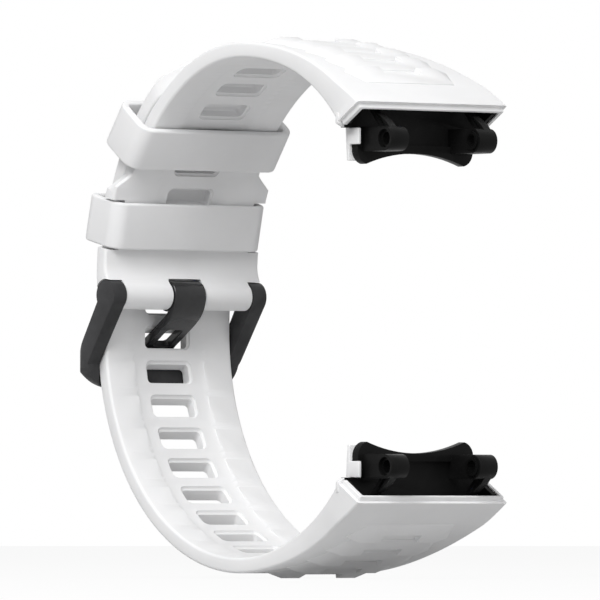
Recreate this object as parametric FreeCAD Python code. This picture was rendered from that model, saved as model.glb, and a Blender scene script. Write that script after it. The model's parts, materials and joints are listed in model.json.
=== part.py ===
"""Two-piece wrist strap for a sports watch, buckled into a loop.

Millimetres. X points from the buckle to the watch case, Y runs across the strap, +Z is up.
Everything is drawn about the buckle pin, then moved so the origin is the middle of the
bounding box's base.
"""
import FreeCAD, Part

import math
import os

V = FreeCAD.Vector

# ---- strap lines: tangent arcs of the wrist-side face, (radius, sweep in degrees) ----
SHORT_START = (0.05, 2.65)
SHORT_ARCS = ((30.57, 58.13), (24.43, 33.99), (38.44, 39.57))
LONG_START = (-3.15, -5.0)
LONG_ARCS = ((33.28, 30.75), (30.09, 74.54), (43.72, 25.70))
TIP_SWEEP = 7.0

# ---- strap sections ----
STRAP_W = 22.0
CASE_W = 26.0
CASE_TAPER = 24.0
SHORT_T = 2.2
LONG_T = 2.15
LAYER_GAP = 0.08
RIM_LENGTH = 5.38
RIM_LEAN = 72.1
THICKEN_RUN = 25.0
TIP_ROUND = 6.5

# ---- shoulders and neck of the short strap, heights above the pin ----
SHOULDER_STEP = 2.5
SHOULDER_W = STRAP_W + 2.0 * SHOULDER_STEP
SHOULDER_LOW = 0.4
SHOULDER_TOP = 15.0
FLARE_TOP = 16.4
FLARE_W = STRAP_W + 1.4
NECK_W = STRAP_W + 0.6
NECK_CLEAR = 0.3
TUBE_R = 1.95
TUBE_BLEND = 3.9
TONGUE_NOTCH_W = 5.8
TONGUE_NOTCH_TOP = 2.4

# ---- adjusting slots ----
SLOT_W = 7.3
SLOT_L = 2.7
SLOT_CORNER = 0.6
SLOT_LEAN = 20.0
SLOT_FLARE = 0.6
SLOT_PITCH = 4.87
SLOT_FIRST = 0.7
VENT_DEPTH = 1.6
SLOTS_BELOW = 9
SLOTS_ABOVE = 6
VENT_L = 2.4
VENT_PITCH = 4.81
VENT_FIRST = 11.2
VENT_COUNT = 6
CHANNEL_W = 11.6
CHANNEL_DEPTH = 0.3
CHANNEL_END = 3.4
CUT_OVER = 1.2

# ---- raised rows on the outside near the case ends ----
ROW_COUNT = 5
ROW_START = 5.6
ROW_PITCH = 4.6
ROW_LENGTH = 3.9
ROW_NEAR_W = 15.0
ROW_BASE_W = 17.8
ROW_TOP_W = 12.8
ROW_NEAR_RAISE = 0.12
ROW_NOTCH_W = 6.3
ROW_NOTCH_L = 1.5
ROW_RAISE = 0.8

# ---- keepers ----
KEEPER_L = 6.55
KEEPER_WALL = 1.0
KEEPER_SIDE_WALL = 1.2
KEEPER_SIDE_CLEAR = 1.1
KEEPER_W = STRAP_W + 2.0 * (KEEPER_SIDE_CLEAR + KEEPER_SIDE_WALL)
KEEPER_CLEAR = 0.16
KEEPER_BACK_CLEAR = 1.1
KEEPER_OUTER_R = 2.1
KEEPER_INNER_R = 0.9
KEEPER_LOWER_ANGLE = 13.55
KEEPER_UPPER_ANGLE = 36.4

# ---- buckle ----
BAR_R = 0.9
BAR_INSET = 0.8
BAR_LENGTH = STRAP_W - 2.0 * BAR_INSET
PIVOT_CLEAR = 0.05
PLUNGER_R = 0.6
PLUNGER_FIT = 0.03
PLUNGER_HEAD_L = 2.4
TIP_SOCKET_DEPTH = 1.3
SPRING_WIRE_R = 0.12
SPRING_TURNS = 12
ARM_CLEAR = 0.2
ARM_GAP = STRAP_W + 2.0 * ARM_CLEAR
ARM_T = 2.2
TIP_END_CLEAR = 0.2
PLUNGER_REACH = ARM_GAP / 2.0 + TIP_SOCKET_DEPTH - TIP_END_CLEAR
ARM_TOP_R = 2.1
ARM_HEAD_CLEAR = 0.15
FRAME_CORNER_R = 4.4
FRAME_BACK_R = 2.0
ARM_FRONT = ((1.83, -1.03), (-4.35, -9.6))
ARM_REAR = (-1.9, -0.9)
BAR_TOP_Z = -8.9
BAR_LOW_Z = -13.0
BAR_T = 1.9
BAR_TAPER = 0.8
BAR_BEVEL = 0.7
BAR_STRAP_CLEAR = 0.3
TONGUE_SIDE_CLEAR = 0.2
TONGUE_W = TONGUE_NOTCH_W - 2.0 * TONGUE_SIDE_CLEAR
TONGUE_R = 2.2
TONGUE_T = 1.15
TONGUE_ARCS = ((4.3, 50.0), (14.0, 8.0))
TONGUE_STRAIGHT = 4.7
TONGUE_TIP_ARC = (3.5, 38.0)
TONGUE_WINDOW_W = 2.6
TONGUE_WINDOW_L = 4.2
TONGUE_WINDOW_AT = 0.6

# ---- case connectors, drawn about the outer corner of the strap's end face ----
FACE_TILT = 30.5
SKIN_ANGLE = 63.1
SHELL_WALL = 1.1
LIP_RAISE = 0.7
LIP_INSET = 0.5
LIP_ROOT = 0.3
RIM_END_GAP = 0.35
SILL_DROP = 0.9
SILL_BACK_X = -5.4
SIDE_WALL_OUT = 1.1
CONNECTOR_SHELL_T = 0.8
CONNECTOR_RECESS = 0.6
PLATE_BACK_X = -5.2
BACK_T = 0.7
FLANGE_T = 1.3
FLANGE_W = 20.0
FLANGE_TOP_Z = -5.7
FLANGE_END_Z = -8.4
FLANGE_ARC_R = 24.0
FLANGE_ARC_APEX_Z = -6.8
FLANGE_CORNER_R = 2.0
FLAP_T = 0.5
FLAP_END_Z = -7.9
FLAP_W = 21.0
FLAP_ARC_BACK = 0.35
CHEEK_FRONT_X = -3.1
LUG_X = 0.87
LUG_Z = -5.0
LUG_R = 1.68
LUG_BORE_R = 1.28
LUG_INNER_Y = 6.15
LUG_OUTER_Y = 9.2
RIB_T = 0.75
RIB_GAP = 0.65
RIB_LEAN = 43.6
RIB_FOOT = -1.1
RIB_INNER_Y = 7.6
RIB_OUTER_Y = 8.8
BUSH_BORE_R = 0.9
BUSH_RECESS = 0.5
BUSH_PROUD = 0.3


class ArcPath:
    """A chain of tangent arcs in the XZ plane. turn is 1 for left turns and -1 for right."""

    def __init__(self, start, heading, arcs, turn):
        self.turn = turn
        self.parts = []
        self.length = 0.0
        x, z = start
        angle = math.radians(heading)
        for radius, sweep in arcs:
            cx = x - turn * radius * math.sin(angle)
            cz = z + turn * radius * math.cos(angle)
            span = radius * math.radians(sweep)
            self.parts.append((self.length, span, cx, cz, radius, angle))
            angle = angle + turn * math.radians(sweep)
            x = cx + turn * radius * math.sin(angle)
            z = cz - turn * radius * math.cos(angle)
            self.length += span

    def _part(self, s):
        """The arc that holds the distance s along the chain."""
        for part in self.parts:
            if s <= part[0] + part[1]:
                return part
        return self.parts[-1]

    def _on(self, part, s, left):
        """The point of one arc at distance s, moved to the left by left."""
        begin, _, cx, cz, radius, angle = part
        bend = angle + self.turn * (s - begin) / radius
        reach = radius - self.turn * left
        return V(cx + self.turn * reach * math.sin(bend), 0, cz - self.turn * reach * math.cos(bend))

    def heading(self, s):
        """Heading in radians at distance s."""
        begin, _, _, _, radius, angle = self._part(s)
        return angle + self.turn * (s - begin) / radius

    def at(self, s, left=0.0):
        """The point at distance s, moved to the left of the travel by left."""
        return self._on(self._part(s), s, left)

    def edges(self, s0, s1, left=0.0):
        """Arc edges from s0 to s1, moved to the left by left."""
        made = []
        for part in self.parts:
            a = max(s0, part[0])
            b = min(s1, part[0] + part[1])
            if b - a > 0.01:
                ends = [self._on(part, s, left) for s in (a, (a + b) / 2.0, b)]
                made.append(Part.Arc(*ends).toShape())
        return made


def closed_face(edges):
    """A face inside ordered edges in the XZ plane; short gaps are bridged by lines."""
    chain = []
    for edge in edges:
        if chain:
            last = chain[-1].Vertexes[-1].Point
            first = edge.Vertexes[0].Point
            if last.distanceToPoint(first) > 1e-6:
                chain.append(Part.makeLine(last, first))
        chain.append(edge)
    last = chain[-1].Vertexes[-1].Point
    first = chain[0].Vertexes[0].Point
    if last.distanceToPoint(first) > 1e-6:
        chain.append(Part.makeLine(last, first))
    return Part.Face(Part.Wire(chain))


def reverse(edges):
    """The same arcs walked the other way."""
    back = []
    for edge in reversed(edges):
        a = edge.valueAt(edge.LastParameter)
        b = edge.valueAt((edge.FirstParameter + edge.LastParameter) / 2.0)
        c = edge.valueAt(edge.FirstParameter)
        back.append(Part.Arc(a, b, c).toShape())
    return back


def across(face, width, middle=0.0):
    """A prism of a face in the XZ plane, width wide and centred on Y = middle."""
    solid = face.extrude(V(0, width, 0))
    solid.translate(V(0, middle - width / 2.0, 0))
    return solid


def polygon(points):
    """A face from (x, z) corners in the XZ plane."""
    corners = [V(x, 0, z) for x, z in points]
    return Part.Face(Part.makePolygon(corners + corners[:1]))


def both_sides(solid):
    """A solid and its mirror image in the XZ plane."""
    return [solid, solid.mirror(V(0, 0, 0), V(0, 1, 0))]


def one_solid(shape):
    """The largest solid of a boolean result, with its faces tidied."""
    solids = sorted(shape.Solids, key=lambda s: s.Volume)
    return solids[-1].removeSplitter()


def frame_at(path, s, left=0.0):
    """A placement on the path: local x across the strap, y along it, z to the right."""
    angle = path.heading(s)
    point = path.at(s, left)
    along = (math.cos(angle), 0.0, math.sin(angle))
    out = (math.sin(angle), 0.0, -math.cos(angle))
    return FreeCAD.Placement(FreeCAD.Matrix(
        0.0, along[0], out[0], point.x,
        1.0, 0.0, 0.0, 0.0,
        0.0, along[2], out[2], point.z,
        0.0, 0.0, 0.0, 1.0))


def on_circle(cx, cz, radius, angle):
    """The point of a circle in the XZ plane at an angle in radians."""
    return V(cx + radius * math.cos(angle), 0, cz + radius * math.sin(angle))


def rounded_rect(width, length, corner):
    """A rounded rectangle about the origin in the XY plane."""
    x = width / 2.0
    y = length / 2.0
    k = corner * (1.0 - math.sqrt(0.5))
    edges = []
    for i, (sx, sy) in enumerate(((1, 1), (-1, 1), (-1, -1), (1, -1))):
        near_x = V(sx * x, sy * (y - corner), 0)
        near_y = V(sx * (x - corner), sy * y, 0)
        mid = V(sx * (x - k), sy * (y - k), 0)
        first, last = (near_x, near_y) if i % 2 == 0 else (near_y, near_x)
        edges.append(Part.Arc(first, mid, last).toShape())
    return closed_face(edges)


def tangent_arc(start, angle, end):
    """(radius, sweep in radians) of the arc that leaves start along angle and meets end."""
    dx = end.x - start.x
    dz = end.z - start.z
    chord = math.hypot(dx, dz)
    bend = math.atan2(dz, dx) - angle
    bend = math.atan2(math.sin(bend), math.cos(bend))
    return chord / (2.0 * math.sin(abs(bend))), 2.0 * abs(bend)


# ---- the two strap lines ----
SHORT = ArcPath(SHORT_START, 90.0, SHORT_ARCS, -1)
ARC_CENTRE = (SHORT_START[0] + SHORT_ARCS[0][0], SHORT_START[1])
OVER = SHORT_T + LAYER_GAP


def long_line():
    """The long strap's wrist-side line from its tip, and the distance of its low start."""
    big = SHORT_ARCS[0][0] + OVER
    dx = LONG_START[0] - ARC_CENTRE[0]
    dz = LONG_START[1] - ARC_CENTRE[1]
    radius = (big ** 2 - dx ** 2 - dz ** 2) / (2.0 * (dx + big))
    meet = math.degrees(math.atan2(-dz, radius + dx))
    meet = abs(meet) if meet < 90.0 else 180.0 - meet
    second = SHORT_ARCS[1][0] + OVER
    tip = SHORT.at(SHORT_ARCS[0][0] * math.radians(SHORT_ARCS[0][1])
                   + SHORT_ARCS[1][0] * math.radians(TIP_SWEEP), OVER)
    heading = 90.0 - SHORT_ARCS[0][1] - TIP_SWEEP + 180.0
    upper = ((second, TIP_SWEEP), (big, SHORT_ARCS[0][1] - meet), (radius, meet))
    path = ArcPath((tip.x, tip.z), heading, upper + LONG_ARCS, 1)
    low_start = sum(r * math.radians(a) for r, a in upper)
    return path, low_start


LONG, LONG_ZERO = long_line()


def rim_corner(path, side):
    """Outer corner of the end face; side is 1 when the outside is left of the travel."""
    angle = path.heading(path.length) + side * math.radians(RIM_LEAN)
    inner = path.at(path.length)
    return inner + V(RIM_LENGTH * math.cos(angle), 0, RIM_LENGTH * math.sin(angle))


def outer_line(path, side, thickness):
    """The thickening outer face near the case end, as a path of one arc."""
    s = path.length - THICKEN_RUN
    start = path.at(s, side * thickness)
    angle = path.heading(s)
    radius, sweep = tangent_arc(start, angle, rim_corner(path, side))
    return ArcPath((start.x, start.z), math.degrees(angle), ((radius, math.degrees(sweep)),), path.turn)


def case_place(shape, path, side):
    """Moves a shape drawn about the end face's outer corner to that corner."""
    angle = math.degrees(path.heading(path.length)) + side * RIM_LEAN
    moved = shape.copy()
    if side < 0:
        moved = moved.mirror(V(0, 0, 0), V(0, 0, 1))
        turn = angle + FACE_TILT
    else:
        turn = angle - FACE_TILT
    turn = (turn + 180.0) % 360.0 - 180.0
    moved.rotate(V(0, 0, 0), V(0, -1, 0), turn)
    moved.translate(rim_corner(path, side))
    return moved


# ---- case-end geometry shared by strap and connector ----
def face_vectors():
    """Unit vectors at the end face: inwards along it, outwards from it, back along the skin."""
    tilt = math.radians(FACE_TILT)
    rise = math.radians(SKIN_ANGLE - FACE_TILT)
    along = V(-math.cos(tilt), 0, -math.sin(tilt))
    out = V(math.sin(tilt), 0, -math.cos(tilt))
    back = V(-math.cos(rise), 0, math.sin(rise))
    return along, out, back


def cavity_corners(wall, recess):
    """Mouth corner and deep corner of a pocket line, wall under the skin, recess inside the face."""
    along, _, back = face_vectors()
    slant = math.sin(math.radians(SKIN_ANGLE))
    mouth = along * (wall / slant) + back * (recess / slant)
    deep = mouth + back * ((mouth.x - PLATE_BACK_X) / -back.x)
    return mouth, deep


def pocket_floor():
    """The inner end of the face line, where the pocket's side walls stop."""
    along, _, _ = face_vectors()
    return along * (RIM_LENGTH - RIM_END_GAP)


def lip_ring():
    """The raised lip round the pocket's mouth, a solid slab before the pocket is cut."""
    along, out, _ = face_vectors()
    root = out * -LIP_ROOT
    a = along * (LIP_INSET / math.sin(math.radians(SKIN_ANGLE))) + root
    b = pocket_floor() + root
    lift = out * (LIP_ROOT + LIP_RAISE)
    face = polygon([(p.x, p.z) for p in (a, b, b + lift, a + lift)])
    return across(face, CASE_W - 2.0 * LIP_INSET)


def case_trim(path, side):
    """Lip and wall ends, moved to the strap's end face."""
    return [case_place(piece, path, side) for piece in [lip_ring()] + wall_ends()]


def pocket():
    """The pocket in the strap's end that takes the connector."""
    mouth, deep = cavity_corners(SHELL_WALL, -LIP_RAISE - 0.5)
    low = FLANGE_END_Z - 1.0
    face = polygon([(mouth.x, mouth.z), (deep.x, deep.z), (PLATE_BACK_X, low), (3.0, low)])
    return across(face, CASE_W - 2.0 * SHELL_WALL)


def flap():
    """Silicone that backs the connector's plate and wraps its side edges."""
    x = PLATE_BACK_X
    back = polygon([(x, 0.4), (x, FLAP_END_Z), (x - 0.7 * FLAP_T, FLAP_END_Z),
                    (x - FLAP_T, FLAP_END_Z + 0.4), (x - 2.0 * FLAP_T, -0.9)])
    solid = across(back, FLAP_W)
    cheek_t = (FLAP_W - FLANGE_W) / 2.0
    top = pocket_floor().z - SILL_DROP
    cheek = polygon([(x - FLAP_T, top), (x - FLAP_T, FLANGE_TOP_Z), (CHEEK_FRONT_X, FLANGE_TOP_Z),
                     (CHEEK_FRONT_X, top)])
    solid = solid.fuse(both_sides(across(cheek, cheek_t, (FLANGE_W + cheek_t) / 2.0)))
    return solid.cut(arc_relief(FLAP_ARC_BACK))


def wall_ends():
    """The lower ends of the pocket's side walls, slanting outwards and up."""
    low = pocket_floor().z - SILL_DROP
    inner = CASE_W / 2.0 - SHELL_WALL
    outer = CASE_W / 2.0
    front_x = pocket_floor().x
    slant = SHELL_WALL / 2.0
    ring = [(inner, low), (outer, low + slant), (outer, low + 2.0), (inner, low + 2.0), (inner, low)]
    end = Part.Face(Part.makePolygon([V(SILL_BACK_X, y, z) for y, z in ring]))
    return both_sides(end.extrude(V(front_x - SILL_BACK_X, 0, 0)))


def arc_relief(back_off):
    """The round cut in the free edge of the plate, or of the flap set back from it."""
    centre_z = FLANGE_ARC_APEX_Z - FLANGE_ARC_R
    return Part.makeCylinder(FLANGE_ARC_R + back_off, 12.0, V(PLATE_BACK_X - 6.0, 0, centre_z), V(1, 0, 0))


def strap_side_cuts(path, side):
    """Everything that narrows a strap's blank to the outline seen from above."""
    half = STRAP_W / 2.0
    rise = (CASE_W - STRAP_W) / 2.0
    end_x = rim_corner(path, side).x
    x0 = end_x - CASE_TAPER
    full_x = end_x - RIM_LENGTH * math.cos(math.radians(FACE_TILT))
    run = full_x - x0
    radius = (run ** 2 + rise ** 2) / (2.0 * rise)
    bend = math.asin(run / radius)
    mid = V(x0 + radius * math.sin(bend / 2.0), half + radius * (1.0 - math.cos(bend / 2.0)), 0)
    taper = Part.Arc(V(x0, half, 0), mid, V(full_x, half + rise, 0)).toShape()
    far = half + 8.0
    left_x = ARC_CENTRE[0] - 18.0
    right_x = end_x + 6.0
    rim = [(full_x, half + rise), (right_x, half + rise), (right_x, far), (left_x, far), (left_x, half),
           (x0, half)]
    wire = [taper] + [Part.makeLine(V(a[0], a[1], 0), V(b[0], b[1], 0)) for a, b in zip(rim, rim[1:])]
    blade = Part.Face(Part.Wire(wire)).extrude(V(0, 0, 200))
    blade.translate(V(0, 0, -100))
    return both_sides(blade)


def left_side_cut(outline):
    """Cuts both edges left of the top of the loop to an outline of (half width, height)."""
    left_x = ARC_CENTRE[0] - 18.0
    far = SHOULDER_W / 2.0 + 6.0
    points = [V(0, y, z) for y, z in outline]
    points = points + [V(0, far, outline[-1][1]), V(0, far, outline[0][1])]
    blade = Part.Face(Part.makePolygon(points + points[:1])).extrude(V(left_x + 30.0, 0, 0))
    blade.translate(V(-30.0, 0, 0))
    return both_sides(blade)


def leaning_slot(path, s, length, lean, depth):
    """A rounded slot cut depth deep at s from the wrist side, leaning by lean degrees, with a flared rim."""
    drop = math.tan(math.radians(lean))
    reach = (depth + CUT_OVER) * path.turn
    over = -CUT_OVER * path.turn
    tool = rounded_rect(SLOT_W, length, SLOT_CORNER).extrude(V(0, reach * drop, reach))
    tool.translate(V(0, over * drop, over))
    mouth = CHANNEL_DEPTH * path.turn
    wires = []
    for grow, z in ((SLOT_FLARE + 0.3, mouth - 0.3 * path.turn), (0.0, mouth + SLOT_FLARE * path.turn)):
        loop = rounded_rect(SLOT_W + 2.0 * grow, length + 2.0 * grow, SLOT_CORNER + grow).OuterWire
        loop.translate(V(0, z * drop, z))
        wires.append(loop)
    tool = tool.fuse(Part.makeLoft(wires, True, True))
    tool.Placement = frame_at(path, s).multiply(tool.Placement)
    return tool


def raised_rows(path, side):
    """Rows of raised wedges on the outer face near the case end, each rising away from the case."""
    outer = outer_line(path, side, SHORT_T if side > 0 else LONG_T)
    up = -side
    sections = ((0.0, ROW_NEAR_W, ROW_NEAR_W - 0.2, ROW_NEAR_RAISE),
                (-ROW_LENGTH, ROW_BASE_W, ROW_TOP_W, ROW_RAISE))
    rows = []
    for k in range(ROW_COUNT):
        s = outer.length - ROW_START - ROW_PITCH * k
        wires = []
        for y, base_w, top_w, height in sections:
            half = base_w / 2.0
            points = [(-half, -0.5), (half, -0.5), (half, 0.0), (top_w / 2.0, height),
                      (-top_w / 2.0, height), (-half, 0.0)]
            corners = [V(x, y, up * z) for x, z in points]
            wires.append(Part.makePolygon(corners + corners[:1]))
        block = Part.makeLoft(wires, True, True)
        notch = Part.makeBox(ROW_NOTCH_W, 2.0 * ROW_NOTCH_L, 4.0)
        notch.translate(V(-ROW_NOTCH_W / 2.0, -ROW_LENGTH - ROW_NOTCH_L, -2.0))
        block = block.cut(notch)
        block.Placement = frame_at(outer, s).multiply(block.Placement)
        rows.append(block)
    return rows


def blend_centre():
    """Centre of the arc that runs from the strap's wrist side onto the pin tube."""
    big = SHORT_ARCS[0][0] - TUBE_BLEND
    small = TUBE_R + TUBE_BLEND
    span = math.hypot(*ARC_CENTRE)
    along = (span ** 2 + small ** 2 - big ** 2) / (2.0 * span)
    off = math.sqrt(small ** 2 - along ** 2)
    ux = ARC_CENTRE[0] / span
    uz = ARC_CENTRE[1] / span
    return V(ux * along - uz * off, 0, uz * along + ux * off)


def arm_seats():
    """Round notches under the shoulders that clear the buckle arms' heads."""
    reach = SHOULDER_STEP + 1.0
    seat = Part.makeCylinder(ARM_TOP_R + ARM_HEAD_CLEAR, reach, V(0, STRAP_W / 2.0, 0), V(0, 1, 0))
    return both_sides(seat)


def short_strap():
    """The buckle half: shell end, curved band, shoulders, neck and pin tube."""
    end = SHORT.length
    outer = outer_line(SHORT, 1, SHORT_T)
    skin = SHORT.edges(0.0, end - THICKEN_RUN, SHORT_T) + outer.edges(0.0, outer.length)
    blend = blend_centre()
    radius = SHORT_ARCS[0][0]
    spoke = math.atan2(blend.z - ARC_CENTRE[1], ARC_CENTRE[0] - blend.x)
    inner = SHORT.edges(radius * spoke, end)
    heel = SHORT.at(radius * spoke)
    toe = blend * (TUBE_R / (TUBE_R + TUBE_BLEND))
    toe_turn = math.atan2(toe.z - blend.z, toe.x - blend.x) % (2.0 * math.pi)
    bow = on_circle(blend.x, blend.z, TUBE_BLEND, (math.pi - spoke + toe_turn) / 2.0)
    fillet = Part.Arc(heel, bow, toe).toShape()
    back = SHORT.at(0.0, SHORT_T)
    touch = math.atan2(back.z, back.x) + math.acos(TUBE_R / math.hypot(back.x, back.z))
    wrap = Part.Arc(toe, on_circle(0.0, 0.0, TUBE_R, touch / 2.0 + math.pi),
                    on_circle(0.0, 0.0, TUBE_R, touch)).toShape()
    face = closed_face(reverse(inner) + [fillet, wrap] + skin)
    blank = across(face, SHOULDER_W)
    inner_half = STRAP_W / 2.0
    shoulder = SHOULDER_W / 2.0
    outline = [(inner_half, -10.0), (inner_half, SHOULDER_LOW), (shoulder, SHOULDER_LOW),
               (shoulder, SHOULDER_TOP), (FLARE_W / 2.0, FLARE_TOP), (inner_half, FLARE_TOP + 0.6),
               (inner_half, 60.0)]
    tools = left_side_cut(outline) + neck_cuts() + arm_seats() + strap_side_cuts(SHORT, 1)
    body = blank.cut(tools)
    body = body.fuse(raised_rows(SHORT, 1) + case_trim(SHORT, 1))
    body = body.cut(case_place(pocket(), SHORT, 1))
    body = body.fuse(case_place(flap(), SHORT, 1))
    stations = [VENT_FIRST + VENT_PITCH * k for k in range(VENT_COUNT)]
    cuts = [leaning_slot(SHORT, s, VENT_L, 0.0, VENT_DEPTH) for s in stations]
    first = VENT_FIRST - CHANNEL_END
    last = VENT_FIRST + VENT_PITCH * (VENT_COUNT - 1) + CHANNEL_END
    cuts.append(band(SHORT, first, last, -0.5, CHANNEL_DEPTH, CHANNEL_W))
    reach = STRAP_W / 2.0 + 4.0
    cuts.append(Part.makeCylinder(BAR_R + PIVOT_CLEAR, 2.0 * reach, V(0, -reach, 0), V(0, 1, 0)))
    notch = Part.makeBox(12.0, TONGUE_NOTCH_W, TONGUE_NOTCH_TOP + 6.0)
    notch.translate(V(-6.0, -TONGUE_NOTCH_W / 2.0, -6.0))
    cuts.append(notch)
    return one_solid(body.cut(cuts))


def band(path, s0, s1, left0, left1, width):
    """A strip of the strap between two offsets of its line, width wide."""
    face = closed_face(path.edges(s0, s1, left0) + reverse(path.edges(s0, s1, left1)))
    return across(face, width)


def long_strap():
    """The slotted half: shell end, band round the wrist, rounded tip."""
    end = LONG.length
    outer = outer_line(LONG, -1, LONG_T)
    skin = LONG.edges(0.0, end - THICKEN_RUN, -LONG_T) + outer.edges(0.0, outer.length)
    face = closed_face(LONG.edges(0.0, end) + reverse(skin))
    blank = across(face, CASE_W)
    half = STRAP_W / 2.0
    body = blank.cut(left_side_cut([(half, -80.0), (half, 80.0)]) + strap_side_cuts(LONG, -1) + [tip_cut()])
    body = body.fuse(raised_rows(LONG, -1) + case_trim(LONG, -1))
    body = body.cut(case_place(pocket(), LONG, -1))
    body = body.fuse(case_place(flap(), LONG, -1))
    cuts = []
    for k in range(-SLOTS_ABOVE, SLOTS_BELOW):
        s = LONG_ZERO + SLOT_FIRST + SLOT_PITCH * k
        cuts.append(leaning_slot(LONG, s, SLOT_L, SLOT_LEAN, LONG_T + CUT_OVER))
    first = LONG_ZERO + SLOT_FIRST - SLOT_PITCH * SLOTS_ABOVE - CHANNEL_END
    last = LONG_ZERO + SLOT_FIRST + SLOT_PITCH * (SLOTS_BELOW - 1) + CHANNEL_END
    cuts.append(band(LONG, first, last, 0.5, -CHANNEL_DEPTH, CHANNEL_W))
    return one_solid(body.cut(cuts))


def tip_cut():
    """Rounds the tip of the long strap as seen from above."""
    half = STRAP_W / 2.0
    tip_x = LONG.at(0.0, -LONG_T).x
    x0 = tip_x - TIP_ROUND
    radius = (half ** 2 + TIP_ROUND ** 2) / (2.0 * TIP_ROUND)
    arc = Part.Arc(V(x0, half, 0), V(tip_x, 0, 0), V(x0, -half, 0)).toShape()
    far = max(radius, half) + 6.0
    wire = [arc, Part.makeLine(V(x0, -half, 0), V(x0, -far, 0)),
            Part.makeLine(V(x0, -far, 0), V(tip_x + 8.0, -far, 0)),
            Part.makeLine(V(tip_x + 8.0, -far, 0), V(tip_x + 8.0, far, 0)),
            Part.makeLine(V(tip_x + 8.0, far, 0), V(x0, far, 0)),
            Part.makeLine(V(x0, far, 0), V(x0, half, 0))]
    tool = Part.Face(Part.Wire(wire)).extrude(V(0, 0, 40.0))
    tool.translate(V(0, 0, ARC_CENTRE[1] + 18.0))
    return tool


def up_the_arc(angle, reach):
    """A placement angle degrees up the first arc: local x across, y outwards, z along the strap."""
    turn = math.radians(angle)
    out = (-math.cos(turn), 0.0, math.sin(turn))
    up = (math.sin(turn), 0.0, math.cos(turn))
    return FreeCAD.Placement(FreeCAD.Matrix(
        0.0, out[0], up[0], ARC_CENTRE[0] + reach * out[0],
        -1.0, 0.0, 0.0, 0.0,
        0.0, out[2], up[2], ARC_CENTRE[1] + reach * out[2],
        0.0, 0.0, 0.0, 1.0))


def keeper(angle):
    """A keeper loop round both layers, angle degrees up the first arc."""
    rise = KEEPER_L / 2.0
    near = math.sqrt((SHORT_ARCS[0][0] - KEEPER_CLEAR) ** 2 - rise ** 2)
    far = SHORT_ARCS[0][0] + OVER + LONG_T + KEEPER_BACK_CLEAR
    depth = far - near
    outer = rounded_rect(KEEPER_W, depth + 2.0 * KEEPER_WALL, KEEPER_OUTER_R)
    inner = rounded_rect(KEEPER_W - 2.0 * KEEPER_SIDE_WALL, depth, KEEPER_INNER_R)
    loop = outer.cut(inner).extrude(V(0, 0, KEEPER_L))
    loop.translate(V(0, 0, -rise))
    loop.Placement = up_the_arc(angle, (near + far) / 2.0).multiply(loop.Placement)
    return one_solid(loop)


def neck_cuts():
    """The notches in the shoulders that the lower keeper sits in."""
    length = KEEPER_L + 2.0 * NECK_CLEAR
    notch = Part.makeBox(SHOULDER_W, 4.0 * SHORT_T, length)
    notch.translate(V(NECK_W / 2.0, -2.0 * SHORT_T, -length / 2.0))
    middle = SHORT_ARCS[0][0] + SHORT_T / 2.0
    notch.Placement = up_the_arc(KEEPER_LOWER_ANGLE, middle).multiply(notch.Placement)
    return both_sides(notch)


# ---- buckle ----
def bar_face_x(z):
    """Where the outside of the long strap is at height z below the pin."""
    best = min(range(0, 240), key=lambda k: abs(LONG.at(LONG_ZERO + k * 0.1, -LONG_T).z - z))
    return LONG.at(LONG_ZERO + best * 0.1, -LONG_T).x


def buckle_frame():
    """U-shaped frame: two arms on the pin and a bar behind the long strap."""
    top_x = bar_face_x(BAR_TOP_Z) - BAR_STRAP_CLEAR
    low_x = bar_face_x(BAR_LOW_Z) - BAR_STRAP_CLEAR
    low_back = low_x - BAR_T + BAR_TAPER
    back = top_x - BAR_T
    rear = [(low_back + BAR_BEVEL, BAR_LOW_Z), (low_back, BAR_LOW_Z + BAR_BEVEL),
            (back, BAR_TOP_Z - BAR_BEVEL)]
    arm_back = [(back + 0.55, BAR_TOP_Z + 0.45), ARM_REAR]
    side = polygon(list(ARM_FRONT) + [(low_x + 0.2, BAR_LOW_Z)] + rear + arm_back)
    eye = Part.Face(Part.Wire(Part.makeCircle(ARM_TOP_R, V(0, 0, 0), V(0, 1, 0))))
    arms = both_sides(across(side.fuse(eye), ARM_T, (ARM_GAP + ARM_T) / 2.0))
    rail = polygon([(top_x, BAR_TOP_Z), (low_x, BAR_LOW_Z)] + rear + [(back + BAR_BEVEL, BAR_TOP_Z)])
    frame = across(rail, ARM_GAP + 2.0 * ARM_T).fuse(arms)
    depth = ARM_GAP / 2.0 + TIP_SOCKET_DEPTH
    socket = Part.makeCylinder(PLUNGER_R + PIVOT_CLEAR, 2.0 * depth, V(0, -depth, 0), V(0, 1, 0))
    corners = both_sides(frame_corner()) + both_sides(frame_back_corner(back))
    return one_solid(frame.cut(corners + [socket]))


def frame_corner():
    """The tool that rounds one lower corner of the frame as seen from the front."""
    half = ARM_GAP / 2.0 + ARM_T
    r = FRAME_CORNER_R
    k = r * (1.0 - math.sqrt(0.5))
    low = BAR_LOW_Z
    arc = Part.Arc(V(0, half, low + r), V(0, half - k, low + k), V(0, half - r, low)).toShape()
    rim = [(half - r, low), (half - r, low - 2.0), (half + 2.0, low - 2.0), (half + 2.0, low + r),
           (half, low + r)]
    sides = [Part.makeLine(V(0, *a), V(0, *b)) for a, b in zip(rim, rim[1:])]
    blade = Part.Face(Part.Wire([arc] + sides)).extrude(V(20.0, 0, 0))
    blade.translate(V(-14.0, 0, 0))
    return blade


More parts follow.
